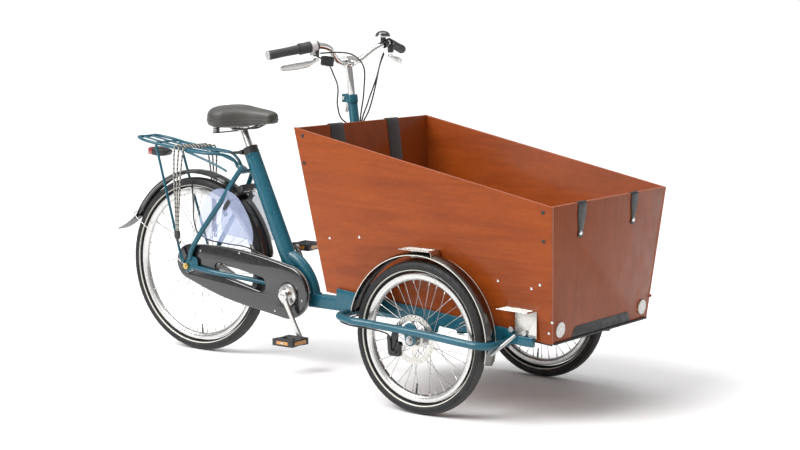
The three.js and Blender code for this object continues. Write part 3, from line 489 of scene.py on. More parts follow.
def varnished_ply(name, grain_axis, light, dark):
    """Stained and varnished plywood. Long fibres run along grain_axis with wide slow figure under them, pores
    are short dark dashes, and the varnish lies over them with a soft ripple. Where the mark "across" is
    between the two faces the cut edge shows its plies."""
    f = Finish(name, Coat_Weight=0.16, Coat_Roughness=0.12, Specular_IOR_Level=0.15)
    stretch = [9.0, 9.0, 9.0]
    stretch["xyz".index(grain_axis)] = 0.9
    long = f.stretched(*stretch)
    fine = f.stretched(*[s * 12 if s > 1 else 5 for s in stretch])
    figure = f.noise(1.6, 5, long, 1.6, 0.6)
    fibre = f.noise(4.0, 8, fine, 0.3, 0.7)
    cross = f.noise(60, 3)
    cloud = f.fit(f.noise(3.2, 3), 0.3, 0.7)
    pores = f.fit(f.noise(9.0, 3, fine), 0.60, 0.72)
    shade = f.mix(f.fit(figure, 0.32, 0.68), light, dark)
    shade = f.mix(f.math("MULTIPLY", f.fit(fibre, 0.35, 0.7), 0.42), shade, tuple(c * 0.55 for c in dark))
    shade = f.mix(f.math("MULTIPLY", cloud, 0.3), shade, tuple(c * 1.22 for c in light))
    shade = f.mix(f.math("MULTIPLY", f.fit(cross, 0.4, 0.75), 0.16), shade, tuple(c * 0.6 for c in dark))
    shade = f.mix(f.math("MULTIPLY", pores, 0.35), shade, tuple(c * 0.3 for c in dark))
    across = f.mark("across")
    wave = f.math("SINE", f.math("MULTIPLY", across, TAU * 4.5))
    plies = f.mix(f.fit(wave, -0.3, 0.3), tuple(min(1, c * 1.55 + 0.05) for c in light),
        tuple(c * 0.75 for c in dark))
    inside = f.math("MULTIPLY", f.fit(across, 0.05, 0.12), f.fit(across, 0.95, 0.88))
    shade = f.mix(f.math("MULTIPLY", inside, 0.8), shade, plies)
    gloss = f.fit(f.noise(14, 4), 0.3, 0.7, 0.3, 0.44)
    height = f.math("ADD", f.math("MULTIPLY", fibre, 0.6), f.math("MULTIPLY", f.noise(25, 2), 0.8))
    return f.done(shade, gloss, f.bump(height, 0.09, 0.35))


def tyre_rubber(name):
    """Tyre rubber: near black, greyed by road dust on the running face, with a fine moulded grain."""
    f = Finish(name, Specular_IOR_Level=0.35)
    dust = f.fit(f.noise(26, 6), 0.38, 0.8)
    tread = f.mark("tread")
    amount = f.math("ADD", f.math("MULTIPLY", dust, 0.12), f.math("MULTIPLY", tread, 0.3))
    shade = f.mix(amount, (0.012, 0.012, 0.013), (0.085, 0.078, 0.07))
    return f.done(shade, f.fit(f.noise(70, 4), 0.3, 0.7, 0.5, 0.72), f.bump(f.noise(800, 3), 0.08, 0.6))


def saddle_cover(name):
    """Synthetic leather: pebbled cells with creases between them, slightly olive black, polished by use."""
    f = Finish(name, Sheen_Weight=0.12, Specular_IOR_Level=0.5)
    pebbles = f.cells(520)
    creases = f.fit(f.cells(260, feature="DISTANCE_TO_EDGE"), 0.0, 0.09)
    worn = f.fit(f.noise(12, 4), 0.35, 0.7)
    shade = f.mix(worn, (0.028, 0.027, 0.024), (0.05, 0.048, 0.042))
    height = f.math("ADD", f.math("MULTIPLY", pebbles, -0.8), creases)
    return f.done(shade, f.fit(f.noise(20, 4), 0.3, 0.7, 0.36, 0.5), f.bump(height, 0.14, 0.55))


def braid(name):
    """Elastic braid: black sleeve with slanting pale threads that wind round it."""
    f = Finish(name, Sheen_Weight=0.2)
    wind = f.math("ADD", f.math("MULTIPLY", f.mark("along"), 62.0), f.mark("around"))
    other = f.math("SUBTRACT", f.math("MULTIPLY", f.mark("along"), 62.0), f.mark("around"))
    a = f.fit(f.math("SINE", f.math("MULTIPLY", wind, TAU)), 0.45, 0.65)
    b = f.fit(f.math("SINE", f.math("MULTIPLY", other, TAU)), 0.45, 0.65)
    threads = f.math("MULTIPLY", f.math("MAXIMUM", a, f.math("MULTIPLY", b, 0.85)), 0.9)
    fuzz = f.noise(900, 3)
    shade = f.mix(threads, (0.008, 0.008, 0.009), (0.5, 0.48, 0.44))
    return f.done(shade, f.fit(fuzz, 0.3, 0.7, 0.6, 0.85), f.bump(f.math("ADD", threads, fuzz), 0.25, 0.6))


def webbing(name, colour, pitch=420):
    """Woven strap: ribs across the strap, crossed by fine yarns, a little lighter where it is rubbed."""
    f = Finish(name, Sheen_Weight=0.3)
    ribs = f.node("TexWave", {"Vector": f.spot, "Scale": pitch / 10, "Distortion": 0.6, "Detail": 2},
        bands_direction="Z").outputs["Fac"]
    yarn = f.noise(1100, 3)
    rub = f.fit(f.noise(45, 4), 0.45, 0.8)
    shade = f.mix(f.math("MULTIPLY", rub, 0.35), colour, tuple(c + 0.05 for c in colour))
    return f.done(shade, f.fit(yarn, 0.3, 0.7, 0.6, 0.8), f.bump(f.math("ADD", ribs, yarn), 0.25, 0.6))


def prism_reflector(name, colour, rough=0.12):
    """Reflector: a tile of tiny prisms under a clear smooth face."""
    f = Finish(name, Coat_Weight=1.0, Coat_Roughness=0.03, Specular_IOR_Level=0.7)
    prisms = f.cells(330)
    shade = f.mix(f.fit(prisms, 0.15, 0.6), colour, tuple(c * 0.55 for c in colour))
    made = f.done(shade, f.fit(f.noise(80, 2), 0.3, 0.7, rough, rough + 0.1))
    f.tree.links.new(f.bump(prisms, 0.5, 0.7), f.shader.inputs["Normal"])
    return made


def frosted_guard(name):
    """Thin smoke-clear plastic: lets light through, scuffed and faintly mottled."""
    f = Finish(name, Alpha=0.36, Specular_IOR_Level=0.4)
    scuff = f.noise(90, 5, f.stretched(1, 1, 6))
    shade = f.mix(f.fit(scuff, 0.35, 0.7), (0.36, 0.42, 0.62), (0.46, 0.52, 0.7))
    return f.done(shade, f.fit(scuff, 0.3, 0.7, 0.25, 0.45), f.bump(scuff, 0.05, 0.4))


def patterned_flap(name):
    """Grey rubber flap with a raised diamond pattern, its ridges rubbed lighter."""
    f = Finish(name)
    where = f.stretched(1, 1, 1, (0, math.radians(33), math.radians(45)))
    ridges = f.node("TexChecker", {"Vector": where, "Scale": 190}).outputs["Fac"]
    grit = f.noise(600, 3)
    shade = f.mix(ridges, (0.06, 0.06, 0.062), (0.3, 0.3, 0.3))
    return f.done(shade, f.fit(grit, 0.3, 0.7, 0.5, 0.7), f.bump(f.math("ADD", ridges, grit), 0.4, 0.6))


BLUE = enamel("petrol blue enamel", (0.008, 0.088, 0.128), (0.006, 0.074, 0.108))
CHROME = bright_metal("chrome plate", (0.7, 0.69, 0.68), 0.07, 0.08, grime=0.2)
ALLOY = bright_metal("polished alloy", (0.62, 0.615, 0.6), 0.2, 0.12, grime=0.25)
SATIN = bright_metal("satin silver", (0.52, 0.52, 0.52), 0.32, 0.14)
STAINLESS = bright_metal("brushed stainless", (0.6, 0.585, 0.55), 0.2, 0.16, brush=(1, 14, 1), depth=0.03)
SPOKE_STEEL = bright_metal("spoke steel", (0.46, 0.455, 0.44), 0.28, 0.12)
YELLOW_ZINC = bright_metal("yellow zinc", (0.72, 0.52, 0.18), 0.25, 0.15)
OILED = bright_metal("oiled chain steel", (0.3, 0.28, 0.25), 0.35, 0.2, grime=0.6)
GUARD_BLACK = moulded("gloss black guard", (0.012, 0.012, 0.013), 0.14, 250, 0.02, coat=0.9, haze=0.08)
CASE_BLACK = moulded("gloss black case", (0.010, 0.010, 0.011), 0.16, 300, 0.02, coat=0.8, haze=0.06)
MATTE_BLACK = moulded("black fittings", (0.018, 0.018, 0.019), 0.42, 900, 0.06)
CABLE_BLACK = moulded("cable sleeve", (0.012, 0.012, 0.013), 0.36, 1200, 0.03)
GRIP_GREY = moulded("soft grip rubber", (0.035, 0.035, 0.038), 0.62, 700, 0.14)
SHIFTER_SILVER = moulded("silver shifter collar", (0.55, 0.54, 0.53), 0.3, 600, 0.03)
# Pale cream: the tyres' reflective stripes, and painted edge highlights on the chain case and front mudguards.
CREAM = moulded("reflective stripe and painted edge highlight", (0.62, 0.6, 0.54), 0.4, 700, 0.05)
TYRE = tyre_rubber("tyre rubber")
SADDLE = saddle_cover("saddle cover")
BRAID = braid("elastic braid")
BELT = webbing("belt webbing", (0.012, 0.012, 0.013))
STRAP = moulded("strap rubber", (0.014, 0.014, 0.015), 0.4, 500, 0.06)
AMBER = prism_reflector("amber reflector", (0.75, 0.3, 0.02))
WHITE_REFLECTOR = prism_reflector("white reflector", (0.82, 0.8, 0.76), 0.2)
RED_LENS = prism_reflector("red lens", (0.42, 0.012, 0.01))
GUARD_CLEAR = frosted_guard("clear dress guard")
FLAP = patterned_flap("patterned flap")
# Black moulded strip along the box's foot; the same black also paints the shade in the front drain slot.
BLACK_STRIP_AND_SLOT_SHADE = moulded("bottom strip and painted slot shade", (0.012, 0.012, 0.012), 0.5, 500, 0.08)
PLY_SIDE = varnished_ply("ply grain along", "x", (0.285, 0.056, 0.0065), (0.215, 0.039, 0.0045))
PLY_END = varnished_ply("ply grain across", "z", (0.25, 0.05, 0.007), (0.19, 0.036, 0.005))
PLY_FLAT = varnished_ply("ply floor", "x", (0.29, 0.064, 0.009), (0.22, 0.045, 0.006))
HEADLESS = moulded("dark screw head", (0.02, 0.015, 0.012), 0.35, 800, 0.04)
# Polished steel mudguards: the colour is kept dark to paint in the dark reflections they show.
MUDGUARD_STEEL = bright_metal("mudguard steel with painted dark reflection", (0.16, 0.155, 0.15), 0.12, 0.1, grime=0.3)


# ---------------------------------------------------------------- dimensions shared by neighbours
REAR_HUB = np.array([0.0, 0.0, 326.5])
FRONT_HUB = np.array([1285.0, 367.0, 250.0])
CRANK = np.array([478.0, 0.0, 265.0])
RIGHT, LEFT = -1, 1
SIDES = ((RIGHT, "right"), (LEFT, "left"))
ARM_LENGTH, ARM_AHEAD = 168.0, 80.0
ARM_DROP = math.sqrt(ARM_LENGTH**2 - ARM_AHEAD**2)
# The box side's corners as (x, z), then its foot's half width, its outward flare and the slopes between corners.
(REAR_X, REAR_Z), (REAR_TOP_X, REAR_TOP_Z) = (846.6, 345.0), (768.8, 901.7)
(FRONT_TOP_X, FRONT_TOP_Z), (FRONT_X, FRONT_Z) = (1768.3, 707.1), (1737.1, 269.9)
CORNERS = [(REAR_X, REAR_Z), (REAR_TOP_X, REAR_TOP_Z), (FRONT_TOP_X, FRONT_TOP_Z), (FRONT_X, FRONT_Z)]
FOOT_HALF, FLARE, SEAT_LEAN = 302.6, 0.1371, 0.465
BOX_SLOPE = (FRONT_Z - REAR_Z) / (FRONT_X - REAR_X)
REAR_LEAN = (REAR_TOP_X - REAR_X) / (REAR_TOP_Z - REAR_Z)
FRONT_LEAN = (FRONT_TOP_X - FRONT_X) / (FRONT_TOP_Z - FRONT_Z)
box_bottom = lambda x: REAR_Z + BOX_SLOPE * (x - REAR_X)
box_side = lambda x, z: FOOT_HALF + FLARE * (z - box_bottom(x))
rear_wall = lambda z: REAR_X + REAR_LEAN * (z - REAR_Z)
front_wall = lambda z: FRONT_X + FRONT_LEAN * (z - FRONT_Z)
column_x = lambda z: rear_wall(z) - 36.4
seat_tube_x = lambda z: 489.0 - SEAT_LEAN * (z - CRANK[2])
column_at = lambda z: np.array([column_x(z), 0.0, z])
seat_tube_at = lambda z: np.array([seat_tube_x(z), 0.0, z])
COLUMN_AXIS = unit([REAR_LEAN, 0, 1])
SEAT_AXIS = unit([-SEAT_LEAN, 0, 1])
SIDE_OUT = {s: unit([-FLARE * BOX_SLOPE, s, -FLARE]) for s in (RIGHT, LEFT)}
FRONT_OUT = unit([1, 0, -FRONT_LEAN])
REAR_OUT = unit([-1, 0, REAR_LEAN])


# ---------------------------------------------------------------- wheels
def tyre(hub, radius, seat, width, blocks):
    """Casing: radius = middle + half height x sin v and y = half width x cos v, flattened where it sits on
    the rim. Notches slant across both shoulders, two grooves run round beside the middle rib."""
    v = np.linspace(0, TAU, 44, endpoint=False)
    a = np.linspace(0, TAU, 6 * blocks, endpoint=False)
    middle, half = (radius + seat) / 2 + 1.5, (radius - seat) / 2 - 1.5
    y = width / 2 * np.cos(v) * (1 - 0.42 * np.clip(-np.sin(v), 0, 1) ** 2)
    top = np.sin(v)
    r = np.maximum(middle + half * np.sign(top) * np.abs(top) ** 0.86, seat)
    on_tread = np.clip((top - 0.45) / 0.15, 0, 1)
    turnwise = (a[:, None] * blocks / TAU + 0.045 * np.abs(y)[None, :] + 0.5 * (y > 0)[None, :]) % 1.0
    notch = np.clip(1 - np.abs(turnwise - 0.5) / 0.17, 0, 1) * np.clip((np.abs(y) - 6) / 2, 0, 1)[None, :]
    groove = np.clip(1 - np.abs(np.abs(y) - 5.0) / 1.4, 0, 1)[None, :]
    sink = 1.5 * on_tread[None, :] * np.maximum(notch, groove * 0.8)
    rr = r[None, :] - sink
    grid = hub + np.stack([rr * np.cos(a)[:, None], np.broadcast_to(y, rr.shape), rr * np.sin(a)[:, None]], -1)
    return skin(grid, loop_u=True, marks={"tread": (on_tread * (top > 0))[None, :]})


def tyre_stripe(hub, radius, seat, width):
    """A thin pale band that follows each sidewall a little outside the rim."""
    middle, half = (radius + seat) / 2 + 1.5, (radius - seat) / 2 - 1.5
    v = np.linspace(-0.62, -0.42, 5)
    y = width / 2 * np.cos(v) * (1 - 0.42 * np.sin(v) ** 2)
    r = middle - half * np.abs(np.sin(v)) ** 0.86
    outer = np.stack([r, y + 0.45], 1)
    inner = np.stack([r, y - 0.6], 1)[::-1]
    loop = np.vstack([outer, inner])
    return [turn(loop, hub, Y, 144, loop=True), turn(loop * (1, -1), hub, Y, 144, loop=True)]


RIM_EDGE = np.array([
    (0.2, -12.5), (0.2, -10.6), (-4, -9.8), (-8, -6), (-8, 6), (-4, 9.8), (0.2, 10.6), (0.2, 12.5), (-2, 13),
    (-8.5, 12.6), (-9.3, 12.0), (-14, 11.6), (-19, 8.2), (-22.2, 3), (-22.6, 0), (-22.2, -3), (-19, -8.2),
    (-14, -11.6), (-9.3, -12.0), (-8.5, -12.6), (-2, -13),
])


def spoke_ends(hub, radius, flange_radius, flange_y, turn_deg, side=1):
    """36 crossed spokes: every flange hole sits 52 degrees ahead of or behind its place in the rim."""
    i = np.arange(36)
    flip = np.where(i % 2 == 1, 1, -1)
    lead = np.where(i % 4 < 2, 1, -1)
    rim = np.radians(turn_deg + 10 * i)
    hole = rim + lead * math.radians(52)
    at_hub = np.stack([flange_radius * np.cos(hole), side * (flip * flange_y + lead * 1.6),
        flange_radius * np.sin(hole)], 1)
    at_rim = np.stack([radius * np.cos(rim), flip * side * 1.5, radius * np.sin(rim)], 1)
    return hub + at_hub, hub + at_rim


def wheel(name, body, hub, side, radius, rim, width, blocks, flange, shell, nodes, turn_deg):
    """One wheel: tyre with its pale stripe, rim, crossed spokes with nipples, valve and hub shell."""
    piece(f"{name}_tyre_rubber", tyre(hub, radius, rim + 0.3, width, blocks), TYRE, body, nodes[0], smooth=60)
    piece(f"{name}_tyre_stripe", tyre_stripe(hub, radius, rim + 0.3, width), CREAM, body)
    piece(f"{name}_polished_rim", turn(RIM_EDGE + (rim, 0), hub, Y, 144, loop=True), ALLOY, body, nodes[1],
        smooth=30)
    at_hub, at_rim = spoke_ends(hub, rim - 22, flange[0] - 3, flange[1], turn_deg, side)
    piece(f"{name}_laced_spokes", rods(at_hub, at_rim, 1.05, 8), SPOKE_STEEL, body, nodes[2])
    inward = unit(at_hub - at_rim)
    piece(f"{name}_nipples", rods(at_rim - 1.5 * inward, at_rim + 11 * inward, 2.0, 8), CHROME, body)
    stub = [(0, 0), (3.2, 0), (3.2, 22), (2.4, 24), (2.4, 38), (0, 38)]
    spot = math.radians(turn_deg + 265)
    inward = -np.array([math.cos(spot), 0, math.sin(spot)])
    piece(f"{name}_valve", turn(stub, hub - inward * (rim - 18), inward, 12), MATTE_BLACK, body)
    piece(f"{name}_hub_shell", turn([(r, side * y) for r, y in shell], hub, Y, 64, loop=True), SATIN, body,
        smooth=30)


REAR_SHELL = [
    (7.2, -34), (19, -34), (20, -33), (20, -31.5), (45, -31.5), (46, -30.5), (46, -27), (44.5, -26), (37, -21),
    (34.5, -17), (34, 0), (34.5, 14), (37, 20), (44.5, 24), (46, 25), (46, 29.5), (45, 30.5), (24, 31.5), (22, 32),
    (7.2, 32),
]
FRONT_SHELL = [
    (6.4, -48), (11, -48), (12, -47), (13, -40), (19, -33), (28.5, -32), (29, -31), (29, -27), (28, -25.5), (18.5, -21),
    (17, -16), (16.5, 0), (17, 15), (18.5, 19.5), (28, 24), (29, 25.5), (29, 30), (28.5, 31), (24, 36.5), (14, 37),
    (12, 38),
    (12, 47), (11, 48), (6.4, 48),
]
wheel("rear", "rear_wheel", REAR_HUB, 1, 326.5, 286, 46, 72, (46, 28), REAR_SHELL,
      ("rear_tyre", "rear_rim", "rear_hub_spokes"), 7)


def brake_rotor(side):
    """Rotor: a drilled band on six swept arms, cut from one sheet."""
    hub = FRONT_HUB * (1, side, 1)
    y = hub[1] + side * 39.2
    a = np.arange(6) * TAU / 6
    window = lambda at: belt(*(49 * np.array([math.cos(at - 0.16), math.sin(at - 0.16)])), 12.5,
                             *(49 * np.array([math.cos(at + 0.26), math.sin(at + 0.26)])), 13.5, 10)
    holes = [window(t) for t in a]
    rows = np.arange(30) * TAU / 30
    holes += [circle(2.5, 10) + 74.5 * np.array([math.cos(t), math.sin(t)]) for t in rows]
    holes += [circle(1.7, 8) + 68.8 * np.array([math.cos(t), math.sin(t)]) for t in rows + TAU / 60]
    plate = cut_plate(circle(80, 120), [circle(13, 32)] + holes, hub * (1, 0, 1) + (0, y + 1, 0), X, Z, 2.0, 0.25)
    bolts = turn([(0, 0), (4, 0), (4, 2), (3, 3), (0, 3)], [hub * (1, 0, 1) + (19.5 * math.cos(t), y + side,
        19.5 * math.sin(t)) for t in a], side * Y, 12)
    return [plate, bolts]


for side, word in SIDES:
    body = f"front_wheel_{word}"
    hub = FRONT_HUB * (1, side, 1)
    wheel(f"front_{word}", body, hub, side, 250, 208.5, 43, 60, (29, 28.5), FRONT_SHELL,
          (f"front_tyre_{word}", f"front_rim_{word}", f"front_hub_spokes_{word}"), 0)
    piece(f"brake_rotor_{word}", brake_rotor(side), STAINLESS, body, f"brake_disc_{word}", smooth=30)


# ---------------------------------------------------------------- rear frame
def weld(centre, axis, radius, thick=2.6):
    """A weld bead: a ring whose section ripples along its length."""
    a = np.linspace(0, TAU, 96, endpoint=False)
    axis = unit(axis)
    first = unit(np.cross(axis, Y if abs(axis[1]) < 0.9 else X))
    second = np.cross(axis, first)
    ring = np.cos(a)[:, None] * first + np.sin(a)[:, None] * second
    swell = thick * (1 + 0.12 * np.sin(24 * a))
    v = np.linspace(0, TAU, 10, endpoint=False)
    across = swell[:, None] * np.cos(v)[None]
    along = swell[:, None] * np.sin(v)[None]
    grid = centre + (radius + across)[..., None] * ring[:, None] + along[..., None] * axis
    return skin(grid, loop_u=True)


def main_frame():
    """Seat tube, low beam with its curved riser, crank shell and steering head in one weldment."""
    z = np.linspace(275, 752, 40)
    seat = np.stack([seat_tube_x(z), 0 * z, z], 1)
    t = (z - 275) / (752 - 275)
    slim = np.stack([1 - 0.06 * t, 1 - 0.10 * t**2 - 0.03 * np.sin(math.pi * t)], 1)
    seat_tube = bar(oval(25, 34, 40), seat, Y, slim)
    cap = turn([(0, 0), (24, 0), (27.5, 1.5), (28, 5), (27, 9), (22, 10), (0, 10)], seat_tube_at(748), SEAT_AXIS, 40)
    beam_path = line((538, 0, 245), (1186, 0, 245), 12)
    beam = bar(rounded(40, 50, 9), beam_path)
    goose = tube(through([(430, 0, 402), (468, 0, 388), (504, 0, 361), (528, 0, 332), (545, 0, 300), (556, 0, 262),
        (560, 0, 240)], 48), 21, 32)
    shell = turn([(9.8, -34), (21, -34), (22, -33), (22, 33), (21, 34), (9.8, 34)], CRANK, Y, 40, loop=True)
    heel = bar(rounded(36, 40, 12), line((480, 0, 250), (549, 0, 248), 8))
    head = turn([(17, -35.5), (24, -35.5), (25, -34), (25, 34), (24, 35.5), (17, 35.5)], (1200, 0, 241.5), Z, 40,
        loop=True)
    beads = [weld(np.array((556, 0, 268)), (-0.2, 0, 1), 21.5), weld(np.array((441, 0, 398)), (-0.94, 0, 0.34), 21.5)]
    return [seat_tube, cap, beam, goose, shell, heel, head, beads]


piece("welded_main_frame", main_frame(), BLUE, "frame", "main_frame", smooth=35)

SEAT_STAY = [(246, 33, 712), (228, 41, 686), (204, 50, 648), (166, 60, 585), (116, 68, 518), (69, 73, 455),
    (22, 75, 378), (14, 75, 352)]
CHAIN_STAY = [(26, 75, 326), (70, 75, 322), (136, 75, 315), (250, 49, 303), (360, 26, 290), (428, 22.5, 284)]


def stays():
    """Seat and chain stays that meet at plate dropouts, with a bridge across each pair."""
    parts = []
    for side in (RIGHT, LEFT):
        flip = np.array([1, side, 1])
        seat = through(np.array(SEAT_STAY) * flip, 60)
        chain = through(np.array(CHAIN_STAY) * flip, 50)
        t, u = np.linspace(0, 1, 60), np.linspace(0, 1, 50)
        ends = np.stack([1 - 0.35 * np.clip((t - 0.93) / 0.07, 0, 1), np.ones(60)], 1)
        flat = np.stack([1 - 0.4 * np.clip((0.12 - u) / 0.12, 0, 1), np.ones(50)], 1)
        parts += [tube(seat, 9.5, 24, Y, ends), tube(chain, 9.5, 24, Y, flat)]
        y = (68.4, 74.4) if side > 0 else (-74.4, -68.4)
        parts.append(xz_plate(belt(0, 326.5, 20, 30, 340, 24, 16), [circle(6.5, 20) + (0, 326.5)], *y, edge=1.2))
    bridge = tube(line((229, -44, 690), (229, 44, 690), 8), 8, 20, X)
    low = tube(line((392, -24, 290), (392, 24, 290), 8), 8, 20, X)
    return [parts, bridge, low]


piece("rear_stay_chevrons", stays(), BLUE, "frame", "rear_stays", smooth=35)


def hex_nut(r, h):
    """Profile of a nut with its thread end standing out of it."""
    return [(0, 0), (r, 0), (r, h * 0.82), (r * 0.88, h), (7, h), (7, h + 3.5), (6, h + 4.5), (0, h + 4.5)]


piece("rear_axle_nuts", [
    turn(hex_nut(12.5, 9), (0, -75, 326.5), -Y, 6), turn(hex_nut(12.5, 9), (0, 75, 326.5), Y, 6),
    turn([(0, -89), (5.8, -89), (6, -88), (6, 88), (5.8, 89), (0, 89)], REAR_HUB, Y, 24),
], YELLOW_ZINC, "frame", "rear_axle", smooth=25)
piece("rear_cones", [turn([(6, s * 60), (12, s * 60), (13, s * 62), (13, s * 67), (6.2, s * 68)], REAR_HUB, Y, 24,
    loop=True) for s in (-1, 1)],
      SATIN, "frame")


def roller_brake():
    """Brake unit: a cupped drum with cooling ribs, and a reaction arm clipped to the chain stay."""
    profile = [(12.8, 34), (44, 34), (47, 36), (47, 40), (44.5, 41), (47, 42), (47, 46), (44.5, 47), (47, 48),
        (47, 52), (44, 56), (30, 58), (14, 58), (12.8, 57)]
    drum = turn(profile, REAR_HUB, Y, 72, loop=True)
    arm = xz_plate(belt(0, 326.5, 26, 118, 290, 9, 18), [circle(12.9, 28) + (0, 326.5), circle(4, 12) + (118, 290)],
        52.6, 57, edge=0.9)
    cog = turn([(0, 0), (6, 0), (6, 5), (0, 6)], (60, 57, 316), Y, 6)
    return [drum, arm, cog]


piece("roller_brake", roller_brake(), SATIN, "frame", "drum_brake", smooth=28)


# ---------------------------------------------------------------- rear mudguard, flap, lamp
def guard_strip(hub, radius, half, crown, start, stop, thick=1.6, count=120, lip=1.6):
    """A crowned strip round a wheel: across it the height falls as crown x (y / half)^2, both edges are rolled
    inwards, and it narrows to a rounded end over the last few degrees."""
    a = np.radians(np.linspace(start, stop, count))
    t = np.linspace(-1, 1, 17)
    drop = -crown * t**2
    outer = np.stack([half * t, drop], 1)
    edge = np.array([(half + 0.3, -crown - lip), (half - 1.6, -crown - lip - 0.8)])
    inner = np.stack([(half - thick) * t[::-1], drop[::-1] - thick], 1)
    section = np.vstack([outer, edge, inner, (edge * (-1, 1))[::-1]])
    from_end = np.minimum(np.arange(count), np.arange(count)[::-1]) * abs(a[1] - a[0]) * radius
    narrow = np.sqrt(np.clip(1 - (1 - np.clip(from_end / 16, 0, 1)) ** 2, 0.05, 1)) * 0.55 + 0.45
    y = section[None, :, 0] * narrow[:, None]
    r = radius + section[None, :, 1]
    grid = hub + np.stack([r * np.cos(a)[:, None], y, r * np.sin(a)[:, None]], -1)
    return skin(grid, ends="flat")


piece("rear_mudguard_strip", guard_strip(REAR_HUB, 357, 29, 12, 9, 153.6), GUARD_BLACK, "frame", "rear_mudguard",
    smooth=40)


def guard_wires():
    """Wire stays: from the dropouts to the mudguard's tail, bent in at the top."""
    parts = []
    for s in (RIGHT, LEFT):
        tail = through([(-12, s * 78, 332), (-150, s * 60, 405), (-262, s * 36, 462), (-300, s * 33, 484),
            (-318, s * 24, 496), (-322, s * 6, 500)], 40)
        parts.append(tube(tail, 1.7, 10))
    return parts


piece("mudguard_wire_stay", guard_wires(), SPOKE_STEEL, "frame")
piece("mudguard_wire_clips", [turn([(0, 0), (4.5, 0), (5, 1), (5, 5), (3.4, 7), (0, 7)], [(-303, s * 27, 482)], s * Y,
    14) for s in (-1, 1)],
      MATTE_BLACK, "frame")


def flap():
    """Mud flap: a thin tongue that widens downwards and curves back, rounded at its lower corners."""
    u = np.linspace(0, 1, 26)
    path = through([(-314, 0, 484), (-334, 0, 468), (-366, 0, 447), (-407, 0, 427)], 26)
    wide = 27 + 6 * np.sin(u * math.pi / 2) - 9 * np.clip((u - 0.88) / 0.12, 0, 1) ** 2
    return bar(rounded(2, 2.4, 0.9, 3), path, Y, np.stack([wide, 1 + 0 * u], 1))


piece("patterned_mud_flap", flap(), FLAP, "frame", "mud_flap", smooth=50)
piece("flap_rivets", [turn([(0, 0), (4, 0), (3.5, 2), (0, 3)], [(-323, y, 484) for y in (-14, 14)], (-0.6, 0, 0.8),
    14)], ALLOY, "frame")


def tail_lamp():
    """Lamp housing that narrows forwards."""
    z = np.array([[724, 756], [722.5, 755], [722, 753], [726, 751], [737, 749], [747, 749]])
    x = np.array([-213, -200, -178, -163, -152, -147])
    mid, tall = z.mean(1), (z[:, 1] - z[:, 0])
    path = np.stack([x, 0 * x, mid], 1)
    return bar(rounded(1, 1, 0.28, 6), path, Y, np.stack([np.array([64, 63, 58, 46, 32, 20]), tall], 1))


piece("tail_lamp_housing", tail_lamp(), MATTE_BLACK, "frame", "tail_light", smooth=50)
piece("tail_lamp_lens", bar(rounded(1, 1, 0.25, 6), np.array([(-236, 0, 740), (-235, 0, 740), (-232, 0, 740),
    (-213, 0, 740)]), Y,
                            np.array([(48, 20), (58, 27), (64, 31), (64, 32)])), RED_LENS, "frame",
                                smooth=50)


# ---------------------------------------------------------------- rack and its elastic straps
def rack_z(x):
    """Height of the rack over the drawing origin: falls towards the front with a slight sag."""
    x = np.asarray(x, float)
    return 756 - (x - 20) * 0.082 + 14 * ((x - 20) / 280) ** 2


def rack():
    """Rails that run forward into the seat tube, cross bars, slats, legs and their feet."""
    rails = []
    for s in (RIGHT, LEFT):
        rails.append(tube(through([
            (-262, s * 1, rack_z(-262)), (-262, s * 50, rack_z(-262)), (-240, s * 62, rack_z(-240)),
            (-120, s * 64, rack_z(-120)), (0, s * 64, rack_z(0)),
            (80, s * 60, rack_z(80)), (125, s * 40, 750), (160, s * 20, 742), (186, s * 12, 726), (200, s * 12, 706),
            (218, s * 12, 696),
        ], 110), 5.6, 20, Z))
        rails.append(tube(line((-158, s * 66, rack_z(-158) - 4), (-22, s * 79.5, 352), 10), 4.8, 16, Y))
        rails.append(tube(through([(-10, s * 63, 754), (55, s * 61, 736), (120, s * 59, 716), (160, s * 57, 702),
            (184, s * 56, 692)], 30), 4.4, 16, Y))
        rails.append(xz_plate(belt(-18, 346, 8.5, -24, 366, 6, 12), [circle(3, 12) + (-18, 346)],
            *sorted((s * 77, s * 80)), edge=0.6))
    cross = [tube(line((x, -62, rack_z(x) - 1), (x, 62, rack_z(x) - 1), 6), 4.2, 14, Z) for x in (-170, -60, 70)]
    slats = [tube(through([(-262, y, rack_z(-262)), (-120, y, rack_z(-120)), (0, y, rack_z(0)), (125, y * 1.4, 750)],
        40), 3.6, 14, Z) for y in (-22, 22)]
    return [rails, cross, slats]


piece("tubular_rack", rack(), BLUE, "frame", "rear_rack", smooth=40)


def strap_cords():
    """Three elastic cords lie side by side over the rack and hang to a hook on each side of the wheel."""
    cords = []
    for k in (-1, 0, 1):
        spread = 21 * k
        lift = lambda x, more=0: rack_z(x) + 9.8 + more
        points = [
            (-34 + 4 * k, -88, 452), (-34 + 6.5 * k, -88.5, 500), (-33 + 11 * k, -88, 580), (-32 + 18 * k, -86, 690),
            (-31 + spread, -81, 742),
            (-30 + spread, -73, lift(-30 + spread, 1)), (-28 + spread, -58, lift(-28 + spread, 1)),
            (-20 + spread, 0, lift(-20 + spread)), (-12 + spread, 58, lift(-12 + spread, 1)),
            (-10 + spread, 73, lift(-10 + spread, 1)), (-9 + spread, 81, 742), (-8 + 16 * k, 86, 690),
            (-6 + 9 * k, 88, 580), (-6 + 6 * k, 88.5, 510), (-6 + 4 * k, 88, 462),
        ]
        cords.append(tube(through(points, 420), 3.3, 10, X))
    return cords


piece("elastic_rack_cords", strap_cords(), BRAID, "frame", "rack_strap", smooth=70)


